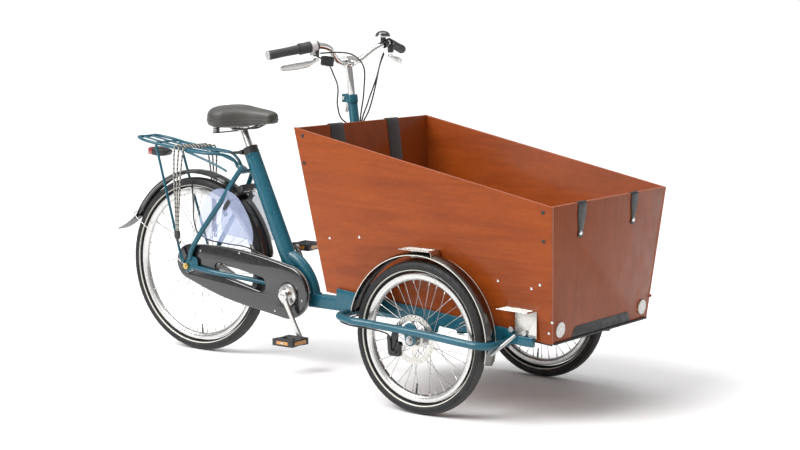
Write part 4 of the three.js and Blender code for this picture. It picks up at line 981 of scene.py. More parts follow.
def hooks():
    """Two moulded blocks, one on each side of the rear wheel, each with a bent hook."""
    parts = []
    for x, y, z in ((-34, -88, 440), (-6, 88, 450)):
        s = math.copysign(1, y)
        block = bar(rounded(23, 11, 4, 5), np.array([(x, y, z + 18), (x, y, z + 12), (x, y, z + 4), (x, y, z - 8),
            (x, y, z - 14)]), X,
                    np.array([(0.8, 1), (1, 1), (1.15, 1), (0.95, 1), (0.6, 0.8)]))
        hook = tube(through([(x, y, z - 10), (x, y, z - 22), (x + 4, y - s * 2, z - 30), (x + 11, y - s * 3, z - 28),
            (x + 13, y - s * 3, z - 20)], 24), 2.6, 12)
        parts += [block, hook]
    return parts


piece("cord_hooks", hooks(), MATTE_BLACK, "frame")


# ---------------------------------------------------------------- drive
def case_outline(pull=0.0):
    """Outline of the chain case: two arcs round the crank and the sprocket, joined by one curve above and one below."""
    a = np.linspace(-1.75, 1.45, 40)
    front = np.stack([470 + (97 - pull) * np.cos(a), 272 + (97 - pull) * np.sin(a)], 1)
    t = np.linspace(0, 1, 24)[1:-1, None]
    b = np.linspace(1.45, 4.4, 40)
    back = np.stack([4 + (66 - pull) * np.cos(b), 341 + (66 - pull) * np.sin(b)], 1)
    top = (1 - t) ** 2 * front[-1] + 2 * t * (1 - t) * np.array([230, 425 - pull]) + t**2 * back[0]
    low = through(np.array([(*back[-1], 0), (130, 232 + pull, 0), (*front[0], 0)]), 22)[1:-1, :2]
    return np.vstack([front, top, back, low])


CASE_SLOT = belt(150, 328, 21, 347, 291, 25, 26)
piece("chain_case_shell", xz_plate(case_outline(), [CASE_SLOT, circle(41, 48) + (478, 265),
    circle(25, 32) + (0, 326.5)], -64, -36.6, edge=7.0),
      CASE_BLACK, "frame", "chain_case", smooth=50)
# Pale strip round the upper part of the case's outer wall: a painted highlight on its edge.
piece("chain_case_painted_edge_highlight", bar(rounded(1.2, 1.0, 0.3, 2), np.insert(case_outline(-0.15)[:150], 1, -50.3, axis=1), Y),
    CREAM, "frame")
piece("chain_case_rim_ring", turn([(41, -66), (43.5, -66), (44, -65.2), (44, -63.2), (41, -63.2)], (478, 0, 265), Y,
    64, loop=True), CASE_BLACK, "frame")
piece("case_screws", turn([(0, 0), (4.2, 0), (3.8, 1.6), (1.6, 2.3), (0, 2.3)], [(60, -64, 388), (250, -64, 396),
    (420, -64, 200), (545, -64, 250)], -Y, 16),
      SATIN, "frame")


def crank_arm(side):
    """A forged arm: it tapers from the axle eye to the pedal eye and is slightly hollowed along its face."""
    end = CRANK + np.array([-side * ARM_AHEAD, 0, side * ARM_DROP])
    y = side * 88.0
    t = np.linspace(0, 1, 30)
    path = CRANK + (0, y, 0) + t[:, None] * (end - CRANK)
    wide = 11.5 - 1.0 * t - 2.5 * np.sin(math.pi * t) ** 0.8
    wide[0] = 11
    arm = bar(rounded(2, 2, 0.55, 6), path, np.cross(unit(end - CRANK), Y), np.stack([wide, np.full(30, 5.5)], 1))
    eye = turn([(0, -7), (17, -7), (19.5, -5), (20, 0), (19.5, 5), (17, 7), (0, 7)], CRANK + (0, y, 0), Y, 40)
    tip = turn([(0, -5.8), (10, -5.8), (11.5, -4), (11.5, 4), (10, 5.8), (0, 5.8)], end + (0, y, 0), Y, 32)
    cap = turn([(0, 0), (9, 0), (9, 2), (7, 3), (0, 3)], CRANK + (0, y + side * 6.6, 0), side * Y, 24)
    spindle = turn([(0, 0), (7.5, 0), (7.5, 8), (5, 10), (4.5, 104), (0, 105)], end + (0, y, 0), side * Y, 20)
    return [arm, eye, tip, cap, spindle]


def chainring():
    """Ring of 38 teeth drawn by a clipped cosine, with five round windows and a middle bore."""
    a = np.linspace(0, TAU, 38 * 6, endpoint=False)
    teeth = 74.6 + 3.0 * np.clip(np.cos(38 * a) * 1.6, -1, 1)
    ring = np.stack([478 + teeth * np.cos(a), 265 + teeth * np.sin(a)], 1)
    holes = [circle(15, 20) + (478 + 52 * math.cos(t), 265 + 52 * math.sin(t)) for t in np.arange(5) * TAU / 5]
    return xz_plate(ring, [circle(10, 20) + (478, 265)] + holes, -49, -46, edge=0.4)


piece("crank_arms", [crank_arm(RIGHT), crank_arm(LEFT), turn([(0, -90), (8.4, -90), (8.4, 90), (0, 90)], CRANK, Y,
    24)], ALLOY, "cranks", "crankset", smooth=35)
piece("toothed_chainring", chainring(), SATIN, "cranks", smooth=30)
piece("crank_cover_disc", [turn([(0, -56), (39, -56), (40, -58), (39.5, -66), (37.5, -68.5), (33, -69.5), (24, -71),
    (21, -74), (18, -82), (0, -82)][::-1], CRANK, Y, 72),
                           turn([(0, 0), (3, 0), (2.6, 1.6), (0, 2)], [(478 + 29 * math.cos(t), -70,
                               265 + 29 * math.sin(t)) for t in np.arange(5) * TAU / 5 + 0.4], -Y, 12)],
      ALLOY, "cranks", smooth=30)


def toothed_disc():
    """Rear sprocket with 18 teeth and a bore, its teeth drawn as the chainring's are."""
    a = np.linspace(0, TAU, 18 * 8, endpoint=False)
    teeth = 34.2 + 2.2 * np.clip(np.cos(18 * a) * 1.5, -1, 1)
    ring = np.stack([teeth * np.cos(a), 326.5 + teeth * np.sin(a)], 1)
    return xz_plate(ring, [circle(9.2, 24) + (0, 326.5)], -49.4, -46.6, edge=0.4)


piece("toothed_sprocket", toothed_disc(), SATIN, "rear_sprocket", "sprocket", smooth=30)


def chain_links():
    """Links lie end to end on the belt line: each is a plate pair with waisted sides and two rollers."""
    path = belt(478, 265, 80.8, 0, 326.5, 40.3, 400)
    closed = np.vstack([path, path[:1]])
    s = np.concatenate([[0], np.cumsum(np.linalg.norm(np.diff(closed, axis=0), axis=1))])
    count = 2 * int(round(s[-1] / 25.4))
    at = np.linspace(0, s[-1], count + 1)
    pins = np.stack([np.interp(at, s, closed[:, k]) for k in (0, 1)], 1)
    parts = []
    for i in range(count):
        a, b = pins[i], pins[i + 1]
        out = 2.9 if i % 2 else 1.9
        outline = belt(*a, 4.0, *b, 4.0, 4)
        for y in (-48 - out - 0.9, -48 + out):
            wall = np.stack([np.insert(outline, 1, y, axis=1), np.insert(outline, 1, y + 0.9, axis=1)])
            parts.append(skin(wall, ends="flat"))
    rollers = turn([(0, -3.9), (2.4, -3.9), (2.4, 3.9), (0, 3.9)], np.insert(pins[:-1], 1, -48, axis=1), Y, 6)
    return [parts, rollers]


piece("roller_chain", chain_links(), OILED, "frame", "chain", smooth=30)


def pedal(side):
    """Block pedal: a cage with two rubber treads, their tops cut into ribs, on a tapered barrel."""
    c = CRANK + np.array([-side * ARM_AHEAD, side * 145.0, side * ARM_DROP])
    treads, frame_parts = [], []
    for s in (-1, 1):
        x = np.linspace(-45, 45, 91)
        ribs = 12.2 - 1.3 * (np.abs(((x / 9.0) % 1) - 0.5) < 0.14)
        ribs[[0, -1]] = 8
        path = c + np.stack([x, 0 * x, 0 * x], 1) + (0, s * 30, 0)
        treads.append(bar(rounded(2, 2, 0.35, 4), path, Y, np.stack([np.full(91, 14.0), ribs], 1)))
        frame_parts.append(bar(rounded(5, 25, 2, 4), c + np.array([(-45, s * 45.4 - s * 2.6, 0),
            (45, s * 45.4 - s * 2.6, 0)]), Y))
    for s in (-1, 1):
        frame_parts.append(bar(rounded(15, 23, 4, 4), c + np.array([(s * 38, -44, 0), (s * 38, 44, 0)]), X))
    barrel = turn([(5.4, -43), (10, -43), (10.5, -40), (10.5, 40), (9, 44), (5.4, 44)], c, Y, 24, loop=True)
    return treads, [frame_parts, barrel], c


for side, word in SIDES:
    treads, cage, c = pedal(side)
    body = f"{word}_pedal"
    piece(f"{word}_pedal_cage", cage, MATTE_BLACK, body, f"pedal_{word}", smooth=40)
    piece(f"{word}_pedal_treads", treads, GRIP_GREY, body, smooth=30)
    lenses = [bar(rounded(62, 13, 3, 4), c + np.array([(s * 45.2, 0, 0), (s * 46.4, 0, 0)]), Y) for s in (-1, 1)]
    lenses += [bar(rounded(52, 11, 3, 4), c + np.array([(0, s * 45.0, 0), (0, s * 45.9, 0)]), X) for s in (-1, 1)]
    piece(f"{word}_pedal_reflectors", lenses, AMBER, body)


# ---------------------------------------------------------------- saddle, post and clamp
def along_x(table, x):
    """A value read from rows of (x, value) by smooth steps between them."""
    table = np.asarray(table, float)
    pts = through(np.insert(table, 1, 0, axis=1), 400)
    return np.interp(x, pts[:, 0], pts[:, 2])


SADDLE_HALF = [(99, 14), (101, 44), (107, 68), (120, 88), (142, 101), (168, 105), (196, 99), (222, 82), (250, 62),
    (282, 45), (318, 36), (348, 31), (362, 27), (369, 19), (372, 9)]
SADDLE_TOP = [(99, 902), (102, 913), (110, 922), (132, 929), (172, 933), (220, 931), (275, 926), (325, 920),
    (350, 916), (362, 912), (369, 906), (372, 898)]
SADDLE_LOW = [(99, 880), (104, 862), (118, 853), (150, 849), (185, 849), (225, 853), (270, 860), (330, 867),
    (358, 870), (368, 873), (372, 882)]


def saddle_pad():
    """Sections square to the length: half width x sgn(cos v)|cos v|^0.78 across, a crown (sin v)^0.62 above
    the welt line and a skirt |sin v|^0.42 below it. A shallow channel runs forwards along the middle."""
    x = np.concatenate([np.linspace(99, 112, 14), np.linspace(113, 345, 90), np.linspace(346, 371, 22)])
    v = np.linspace(0, TAU, 112, endpoint=False)
    half, top, low = along_x(SADDLE_HALF, x), along_x(SADDLE_TOP, x), along_x(SADDLE_LOW, x)
    welt = low + (top - low) * 0.34
    c, s = np.cos(v), np.sin(v)
    pull = 1 - 0.10 * np.clip(-s, 0, 1) ** 0.7
    y = half[:, None] * (np.sign(c) * np.abs(c) ** 0.78 * pull)[None]
    up = (top - welt)[:, None] * (np.clip(s, 0, 1) ** 0.62)[None]
    down = (welt - low)[:, None] * (np.clip(-s, 0, 1) ** 0.42)[None]
    channel = 3.6 * np.exp(-((y / 6.5) ** 2)) * (s > 0)[None] * (np.clip((x - 190) / 60, 0,
        1) * np.clip((362 - x) / 22, 0, 1))[:, None]
    seat_dish = 3.0 * np.exp(-(((x - 185) / 42) ** 2))[:, None] * np.exp(-((y / 26) ** 2)) * (s > 0)[None]
    grid = np.stack([np.broadcast_to(x[:, None], y.shape), y, welt[:, None] + up - down - channel - seat_dish], -1)
    return skin(grid, ends="flat")


def saddle_welt():
    """The sewn welt that runs round the pad between its crown and its skirt."""
    x = np.linspace(101, 370, 120)
    half, top, low = along_x(SADDLE_HALF, x), along_x(SADDLE_TOP, x), along_x(SADDLE_LOW, x)
    z = low + (top - low) * 0.34
    right = np.stack([x, -half - 0.2, z], 1)
    loop = np.vstack([right, (right * (1, -1, 1))[::-1]])
    ahead = unit(np.roll(loop, -1, 0) - np.roll(loop, 1, 0))
    out = np.cross(ahead, Z)
    v = circle(1.7, 10)
    grid = loop[:, None] + v[None, :, :1] * out[:, None] + v[None, :, 1:] * Z
    return skin(grid, loop_u=True)


pad = piece("sprung_saddle_pad", [saddle_pad(), saddle_welt()], SADDLE, "seat", "saddle", smooth=60)


def coil(foot, top, radius, wire, turns):
    """A spring wound about Z from foot to top."""
    a = np.linspace(0, TAU * turns, int(26 * turns))
    t = np.linspace(0, 1, len(a))[:, None]
    foot, top = np.asarray(foot, float), np.asarray(top, float)
    path = foot * (1 - t) + top * t + radius * np.stack([np.cos(a), np.sin(a), 0 * a], 1)
    return tube(path, wire, 8, Z)


def saddle_underside():
    """Two bent rails, their cross plates, and a coil spring with its cup on each side."""
    parts = []
    for s in (RIGHT, LEFT):
        parts.append(tube(through([(134, s * 44, 868), (150, s * 38, 862), (176, s * 30, 852), (215, s * 27, 846),
            (265, s * 24, 850), (300, s * 17, 862), (327, s * 12, 873)], 60), 3.5, 14))
        parts.append(coil((133, s * 52, 832), (133, s * 52, 858), 11, 2.3, 3.5))
        parts.append(turn([(0, 0), (14.5, 0), (14.5, 2.5), (5, 3.2), (0, 3.2)], (133, s * 52, 829), Z, 24))
    parts.append(bar(rounded(30, 3.5, 1.2, 4), line((133, -76, 868), (133, 76, 868), 10), X))
    parts.append(bar(rounded(16, 3.5, 1.2, 4), line((136, -58, 830.5), (136, 58, 830.5), 10), X))
    parts.append(bar(rounded(14, 4, 1.4, 4), line((325, -16, 874), (325, 16, 874), 6), X))
    return parts


piece("saddle_rails_and_springs", saddle_underside(), MATTE_BLACK, "seat", "saddle_rails", smooth=50)


def post():
    """Seat post with its cross barrel and a bolt end on either side."""
    head = seat_tube_at(856)
    barrel = turn([(0, -22), (13, -22), (16, -21), (19, -18), (20, -12), (20, 12), (19, 18), (16, 21), (13, 22),
        (0, 22)], head, Y, 40)
    shaft = turn([(0, 0), (12.6, 0), (13.2, 0.8), (13.2, 226), (12.4, 228), (12.2, 233), (0, 233)], seat_tube_at(640),
        SEAT_AXIS, 48)
    bolt = [turn([(0, 0), (7.5, 0), (7.5, 4), (6.5, 5), (3.4, 5), (3.4, 2.4), (0, 2.4)], head + (0, s * 21.5, 0),
        s * Y, 24) for s in (-1, 1)]
    return [barrel, shaft, bolt]


piece("seat_post_with_head", post(), ALLOY, "seat", "seat_post", smooth=30)


SEAT_PIVOT = np.array([seat_tube_x(768) - 36, 0, 760.0])


def seat_collar():
    """Split collar round the seat tube, its ears behind it, the bolt through them and its knob."""
    ring = turn([(13.9, -13), (27.4, -13), (28.4, -12), (28.4, -7), (27.2, -6), (27.2, 6), (28.4, 7), (28.4, 12),
        (27.4, 13), (13.9, 13)],
                seat_tube_at(768), SEAT_AXIS, 56, loop=True)
    ears = [bar(rounded(22, 18, 5, 5), SEAT_PIVOT + np.array([(2, s * y, 0) for y in (9.2, 8.8, 2.4, 2)]),
        X) for s in (-1, 1)]
    bolt = turn([(0, -16), (4, -16), (4, 16), (0, 16)], SEAT_PIVOT, Y, 16)
    knob = turn([(0, 9), (7, 9), (8, 10), (8, 14), (6.5, 16), (0, 16)], SEAT_PIVOT, Y, 20)
    return [ring, ears, bolt, knob]


piece("seat_collar_clamp", seat_collar(), MATTE_BLACK, "frame", "seat_clamp", smooth=35)
piece("seat_collar_lever", [
    bar(rounded(2, 2, 0.6, 5), through(SEAT_PIVOT + np.array([(0, -14.5, 0), (-14, -15.5, -1.5), (-30, -16.2, -3),
        (-48, -15, -6)]), 24), Z,
        np.stack([np.interp(np.linspace(0, 1, 24), [0, 0.4, 0.9, 1], [6.2, 5.2, 5.6, 3.0]), np.full(24, 3.0)], 1)),
    turn([(0, 0), (8, 0), (8, 7), (6.5, 8), (0, 8)], SEAT_PIVOT - (0, 10.4, 0), -Y, 28),
], MATTE_BLACK, "clamp_lever", "seat_clamp_lever", smooth=40)


# ---------------------------------------------------------------- ring lock
LOCK_TURN = math.radians(52)
LOCK_OUT = np.array([math.cos(LOCK_TURN), 0, math.sin(LOCK_TURN)])
LOCK_AHEAD = np.array([-math.sin(LOCK_TURN), 0, math.cos(LOCK_TURN)])
LOCK_CENTRE = REAR_HUB + 307 * LOCK_OUT
in_lock = lambda a, b, c=0.0: LOCK_CENTRE + np.asarray(a)[..., None] * LOCK_OUT + np.asarray(b)[...,
    None] * Y + np.asarray(c)[..., None] * LOCK_AHEAD


def lock_arc(radius, start, stop, count):
    """Points on a circle about the lock centre, in the plane of the ring."""
    a = np.radians(np.linspace(start, stop, count))
    return in_lock(radius * np.cos(a), radius * np.sin(a), 0 * a)


def lock_shell():
    """Open ring of the lock with its housing and two thicker lips at the mouth."""
    t = np.linspace(0, 1, 90)
    ends = np.stack([1 - 0.35 * np.clip(1 - np.minimum(t, 1 - t) / 0.02, 0, 1) ** 2] * 2, 1)
    shoe = bar(rounded(17, 14, 4.5, 6), lock_arc(60, -145, 145, 90), LOCK_AHEAD, ends)
    y = np.array([-42, -41, -38, -20, 20, 38, 41, 42.0])
    grow = np.array([0.78, 0.88, 0.96, 1, 1, 0.96, 0.88, 0.78])
    housing = bar(rounded(30, 26, 6, 6), in_lock(75 + 0 * y, y, -2 + 0 * y), LOCK_OUT, np.stack([grow, grow], 1))
    lip = [bar(rounded(19, 16, 4, 5), lock_arc(60, a, a + 7, 6), LOCK_AHEAD) for a in (138, -145)]
    return [shoe, housing, lip]


piece("ring_lock_shell", lock_shell(), MATTE_BLACK, "frame", "ring_lock", smooth=45)
piece("ring_lock_barrel", [turn([(0, 0), (11, 0), (11, 3.5), (10, 4.5), (4, 4.5), (3.6, 3.4), (0, 3.4)],
    in_lock(75, 22, -14.6), -LOCK_AHEAD, 32),
                           bar(rounded(3, 52, 1.2, 4), in_lock(np.array([76.0, 76]), np.array([-8.0, -8]),
                               np.array([-16.2, -14.4])), LOCK_OUT)],
      ALLOY, "frame", smooth=35)
piece("lock_wire_shackle", tube(lock_arc(60, -28, 138, 80), 4, 16, LOCK_AHEAD), CHROME, "shackle", "lock_shackle")
TAB_REACH = np.array([62.0, 80])
piece("lock_thumb_tab", bar(rounded(6, 4.2, 1.8, 4), in_lock(TAB_REACH * math.cos(1.17), TAB_REACH * math.sin(1.17),
    np.zeros(2)), LOCK_AHEAD),
      MATTE_BLACK, "shackle")


# ---------------------------------------------------------------- carriage
def fall(x, y, height):
    """A point over or under the box bottom, which falls towards the front."""
    return (x, y, box_bottom(x) + height)


def carriage():
    """Side rails of angle section, cross members under the box, inner axle plates and the steering pin."""
    parts = []
    for s in (RIGHT, LEFT):
        web = bar(rounded(5.9, 45, 1.6, 4), line(fall(897, s * 309.85, 0.5), fall(1655, s * 309.85, 0.5), 12), Y)
        flange = bar(rounded(40.8, 21, 2.4, 4), line(fall(897, s * 292.4, -11.5), fall(1655, s * 292.4, -11.5), 12),
            Y)
        drop = xz_plate(belt(1285, 250, 20, 1285, 296, 34, 20), [circle(6.6, 20) + (1285, 250)],
            *sorted((s * 306.9, s * 312.8)), edge=1.2)
        parts += [web, flange, drop]
        for x in (985, 1200, 1600):
            parts.append(weld(np.array([x, s * 273.5, box_bottom(x) - 16]), Y, 12, 2.0))
    parts.append(tube(line((985, -299, 300), (985, 299, 300), 12), 13, 28, X))
    parts.append(bar(rounded(70, 26, 5, 5), line((1200, -280, 296), (1200, 280, 296), 12), X))
    parts.append(bar(rounded(40, 24, 4, 5), line((1600, -280, box_bottom(1600) - 14),
        (1600, 280, box_bottom(1600) - 14), 12), X))
    parts.append(bar(rounded(40, 20, 4, 5), line((798, 0, 300), (1002, 0, 300), 12), Y))
    parts.append(turn([(0, -50), (15, -50), (16, -49), (16, 50), (0, 50)], (1200, 0, 245), Z, 32))
    parts.append(turn([(0, 0), (22, 0), (23, 1), (23, 8), (22, 9), (0, 9)], (1200, 0, 195), Z, 6))
    return parts


piece("steering_carriage", carriage(), BLUE, "carriage", "carriage_frame", smooth=35)

GUARD_PATH = [
    (985, -299.5, 298), (985, -350, 298), (986, -395, 298), (998, -424, 296.5), (1030, -435, 293),
    (1150, -435, 287), (1285, -435, 281), (1400, -435, 274), (1500, -435, 267),
    (1545, -432, 264), (1572, -412, 262), (1580, -380, 262), (1580, -315, 262),
]


def wheel_guard():
    """Outer hoop round a front wheel, with the plate that holds the axle and two weld beads."""
    hoop = tube(through(GUARD_PATH, 160), 12.5, 28, Z)
    plate = xz_plate(belt(1285, 250, 19, 1285, 281, 26, 20), [circle(6.6, 20) + (1285, 250)], -428, -422, edge=1.2)
    feet = [weld(np.array(p), Y, 12.6, 1.8) for p in ((985.0, -314.5, 298.0), (1580.0, -314.5, 262.0))]
    return [hoop, plate, feet]


def axle_right():
    """Right front axle with two nuts and a washer."""
    spindle = turn([(0, -440), (5.2, -440), (5.8, -439), (5.8, -293), (5.2, -292), (0, -292)], (1285, 0, 250), Y, 24)
    nuts = [turn([(0, 0), (11, 0), (11, 6.4), (9.8, 8.2), (0, 8.2)], (1285, y, 250), -Y, 6) for y in (-428.4, -297.6)]
    washer = turn([(6, -1.6), (14, -1.6), (14, 0), (6, 0)], (1285, -426.9 - 1, 250), Y, 32, loop=True)
    return [spindle, nuts, washer]


def caliper_right():
    """Caliper: two rounded halves either side of the disc, bolted through, with pad fins on the back."""
    x, z = 1213.0, 212.0
    halves = [bar(rounded(46, 48, 9, 6), line((x, y0, z), (x, y1, z), 5), X,
        np.array([0.86, 0.97, 1, 1, 0.98])) for y0, y1 in ((-417.5, -408.6), (-393.6, -403.8))]
    bridge = bar(rounded(14, 12, 3, 4), line((x - 17, -414, z + 6), (x - 17, -397, z + 6), 4), X)
    ear = xz_plate(belt(x - 6, z + 10, 12, 1223, 270, 12, 14), [circle(4, 12) + (1223, 270)], -421.5, -416, edge=1)
    arm = xz_plate(belt(x - 8, z - 10, 7, x - 14, z + 40, 6, 12), [], -427, -422.5, edge=1)
    bolts = turn([(0, 0), (5, 0), (5, 4), (4, 5), (2.2, 5), (2.2, 3), (0, 3)], [(x - 12, -421.4, z + 14),
        (x + 10, -417.4, z - 12), (1223, -421.4, 270)], -Y, 16)
    return [halves, bridge, ear, arm, bolts]


GUARD_HUB = FRONT_HUB * (1, -1, 1)


def mudguard_edge_highlight():
    """Thin pale tubes along both edges of a front mudguard: a painted highlight on its rolled edges."""
    return [tube(arc(GUARD_HUB + (0, y, 0), 269.6, -10.5, 166.5, 150), 1.5, 8) for y in (-28.2, 28.2)]


def step_plate():
    """Stainless tread plate: a flat shelf from the box side over the mudguard's crown, with pressed ribs, a
    flange down the box side and a short lip in front."""
    shelf = bar(rounded(62, 2.6, 1.1, 4), line((1216, -366, 535), (1334, -366, 535), 16), Y)
    ribs = [bar(rounded(4, 2.4, 1.1, 4), line((1224, y, 536.8), (1326, y, 536.8), 12),
        Y) for y in (-352, -362, -372, -382)]
    flange = bar(rounded(2.6, 34, 1.1, 4), line((1222, -336.2, 519), (1328, -336.2, 519), 8), Y)
    lip = bar(rounded(50, 2.4, 1, 4), np.array([(1333, -366, 534.5), (1337, -366, 530), (1338.5, -366, 522),
        (1339, -366, 514)]), Y)
    screws = turn([(0, 0), (4.6, 0), (4, 1.8), (0, 2.2)], [(1240, -337.2, 520), (1310, -337.2, 520)], -Y, 16)
    return [shelf, ribs, flange, lip, screws]


def guard_struts():
    """Mudguard stays from the rail to the strip's inner edge."""
    return [tube(through([(x0, -313, z0), (x1, -330, z1), (x2, -340, z2)], 20), 2.6, 12, Y)
              for x0, z0, x1, z1, x2, z2 in ((1170, 318, 1120, 350, 1062, 402), (1400, 300, 1440, 320, 1520, 372))]


def shoe_bracket():
    """Stainless angle on the box side with a ribbed tread shelf that sticks outwards."""
    upright = xz_plate(np.array([(1611, 292), (1691, 285), (1691, 372), (1611, 378)]), [], -317.5, -315, edge=0.8)
    shelf = bar(rounded(58, 2.6, 1, 4), line((1576, -344, 376.5), (1691, -344, 373), 10), Y)
    ribs = [bar(rounded(3, 2.2, 0.9, 4), line((1584, y, 378), (1684, y, 375), 8),
        Y) for y in (-330, -344, -358, -368)]
    return [upright, shelf, ribs]


def shoe_support():
    """Short arm under the front corner of the box."""
    return bar(rounded(18, 30, 3, 4), line((1632, -322, 276), (1684, -322, 274), 6), Y)


def shoe_rod():
    """Slanting rod from the hoop up to the front corner, and two nuts above it."""
    rod = tube(line((1574, -400, 232), (1620, -330, 290), 8), 6, 18, Z)
    nuts = turn([(0, 0), (10, 0), (10, 7), (9, 8), (0, 8)], [(1600, -318, 306), (1650, -318, 300)], -Y, 6)
    return [rod, nuts]


def both_sides(name, make, finish, body, stands_for=None, smooth=40):
    """One piece on the rider's right and its mirror image on the left. Its name and the node it
    stands for get the side's word."""
    right = many(make)
    for word, parts in (("right", right), ("left", mirrored(right))):
        piece(f"{name}_{word}", parts, finish, body, f"{stands_for}_{word}" if stands_for else (), smooth)


both_sides("wheel_guard_hoop", wheel_guard(), BLUE, "carriage", "wheel_guard")
both_sides("front_axle_and_nuts", axle_right(), SATIN, "carriage", "front_axle", 28)
both_sides("caliper_housing", caliper_right(), MATTE_BLACK, "carriage", "brake_caliper")
both_sides("front_mudguard_strip", guard_strip(GUARD_HUB, 279, 28.5, 10, -12, 168, count=140), MUDGUARD_STEEL,
    "carriage", "front_mudguard")
# Pale tubes along the front mudguards' edges: a painted highlight.
both_sides("mudguard_edge_highlight", mudguard_edge_highlight(), CREAM, "carriage", None)
both_sides("mudguard_tread_plate", step_plate(), STAINLESS, "carriage", None)
both_sides("mudguard_struts", guard_struts(), SPOKE_STEEL, "carriage", None)
both_sides("corner_tread_bracket", shoe_bracket(), STAINLESS, "carriage", None)
both_sides("corner_bracket_arm", shoe_support(), BLUE, "carriage", None)
both_sides("corner_bracket_rod", shoe_rod(), SATIN, "carriage", None)
HOSE_PATH = [(1205, -424, 252), (1196, -429, 262), (1176, -435, 268), (1120, -435, 272), (1032, -434, 276),
    (1001, -423, 280), (989, -394, 281.5), (988, -350, 281.5), (988, -304, 281.5)]
both_sides("caliper_cable", [tube(through(HOSE_PATH, 70), 2.6, 14), tube(through([(1203, -424, 236),
    (1198, -424, 222), (1206, -425, 208), (1222, -424, 204), (1230, -423, 214)], 30), 2.2, 12)],
           CABLE_BLACK, "carriage", None)


# ---------------------------------------------------------------- the box
def box_side_panel():
    """Side wall between its four corners, with the batten that the bench rests on."""
    outer = [(x, -box_side(x, z), z) for x, z in CORNERS]
    inner = [(x, -box_side(x, z) + 12.1, z) for x, z in CORNERS]
    batten_out = [(x, -box_side(x, z) + 11, z) for x, z in ((850, 568), (850, 599), (1080, 599), (1080, 568))]
    batten_in = [(x, -box_side(x, z) + 34, z) for x, z in ((850, 568), (850, 599), (1080, 599), (1080, 568))]
    return [board(outer, inner, 12.1), board(batten_out, batten_in, 22, 2.0)]


def end_panel(wall, inward, low, high, thick=12.0):
    """An end wall between the side walls."""
    faces = []
    for depth in (0, thick):
        ring = []
        for z, s in ((low, -1), (high, -1), (high, 1), (low, 1)):
            x = wall(z) + inward * depth
            ring.append((x, s * (box_side(x, z) - 12.6), z))
        faces.append(ring)
    return faces


both_sides("box_side_panel", box_side_panel(), PLY_SIDE, "carriage", "box_side", 30)
piece("box_rear_panel", board(*end_panel(rear_wall, 1, 345, 900.7)), PLY_END, "carriage", "box_rear",
    smooth=30)


def front_panel():
    """Front wall: a trapezium with a wide notch along its bottom edge."""
    height = math.hypot(FRONT_TOP_Z - FRONT_Z, FRONT_TOP_X - FRONT_X)
    low = box_side(FRONT_X, FRONT_Z) - 12.6
    high = box_side(FRONT_TOP_X, FRONT_TOP_Z) - 12.6
    outline = np.array([(-low, 0), (-180, 0), (-178, 2), (-178, 17), (-176, 18), (176, 18), (178, 17), (178, 2),
        (180, 0), (low, 0), (high, height), (-high, height)])
    up = unit([FRONT_LEAN, 0, 1])
    return cut_plate(outline, [], np.array([FRONT_X, 0, FRONT_Z]) - 12 * FRONT_OUT, Y, up, 12, 1.4)


piece("box_front_panel", front_panel(), PLY_END, "carriage", "box_front", smooth=30)


def floor_panel():
    """Box floor between the end walls, parallel to the bottom edge of the sides."""
    faces = []
    for h in (13, 1):
        a, b = rear_wall(REAR_Z + h) + 12.6, front_wall(FRONT_Z + h) - 12.6
        faces.append([fall(a, -289.8, h), fall(b, -289.8, h), fall(b, 289.8, h), fall(a, 289.8, h)])
    return board(*faces)


piece("box_floor_panel", floor_panel(), PLY_FLAT, "carriage", "box_floor", smooth=30)
HINGE_X = rear_wall(600) + 26
BENCH_X = HINGE_X + 118


def bench_board():
    """Bench across the box, resting on the battens."""
    out = [[(BENCH_X + sx * 125, sy * 312, z) for sx, sy in ((-1, -1), (1, -1), (1, 1), (-1, 1))] for z in (615, 600)]
    return board(out[0], out[1], 15, 3.0)


piece("hinged_bench_board", bench_board(), PLY_FLAT, "bench", "bench_seat", smooth=30)
piece("bench_hinges", [[turn([(0, -28), (3.6, -28), (3.6, 28), (0, 28)], (HINGE_X - 7, y, 616), Y, 16),
                        bar(rounded(26, 1.6, 0.6, 3), line((HINGE_X + 8, y - 26, 615.6), (HINGE_X + 8, y + 26, 615.6),
                            4), X)] for y in (-210, 210)],
      SATIN, "bench", smooth=35)


def on_side(x, z, s):
    """A point on the outer face of a box side."""
    return np.array([x, s * box_side(x, z), z])


DARK_SCREWS = [(804, 875), (800, 783), (1735, 689), (1731, 598)]
BRIGHT_BOLTS = [(883, 535), (1010, 549), (1552, 456), (1676, 444), (1708, 459), (1744, 343), (1730, 307)]
SCREW = [(0, -0.4), (6.4, -0.4), (6.4, 1.0), (5.4, 1.7), (2.9, 1.7), (2.4, 0.7), (0, 0.7)]
BUTTON = [(0, -0.4), (5.0, -0.4), (5.0, 0.4), (4.4, 1.7), (2.9, 2.5), (1.7, 2.6), (1.5, 1.7), (0, 1.7)]


def heads(profile, spots):
    """The same screw heads on both side walls."""
    return [turn(profile, [on_side(x, z, s) for x, z in spots], SIDE_OUT[s], 20) for s in (RIGHT, LEFT)]


piece("panel_screws", heads(SCREW, DARK_SCREWS), HEADLESS, "carriage", smooth=35)
piece("panel_bolts", heads(BUTTON, BRIGHT_BOLTS), CHROME, "carriage", smooth=35)
piece("end_panel_screws", turn(np.array(SCREW) * 0.8,
    [(rear_wall(z), y, z) for z in (860, 700, 540, 400) for y in (-300, 300)], REAR_OUT, 18),
      HEADLESS, "carriage", smooth=35)


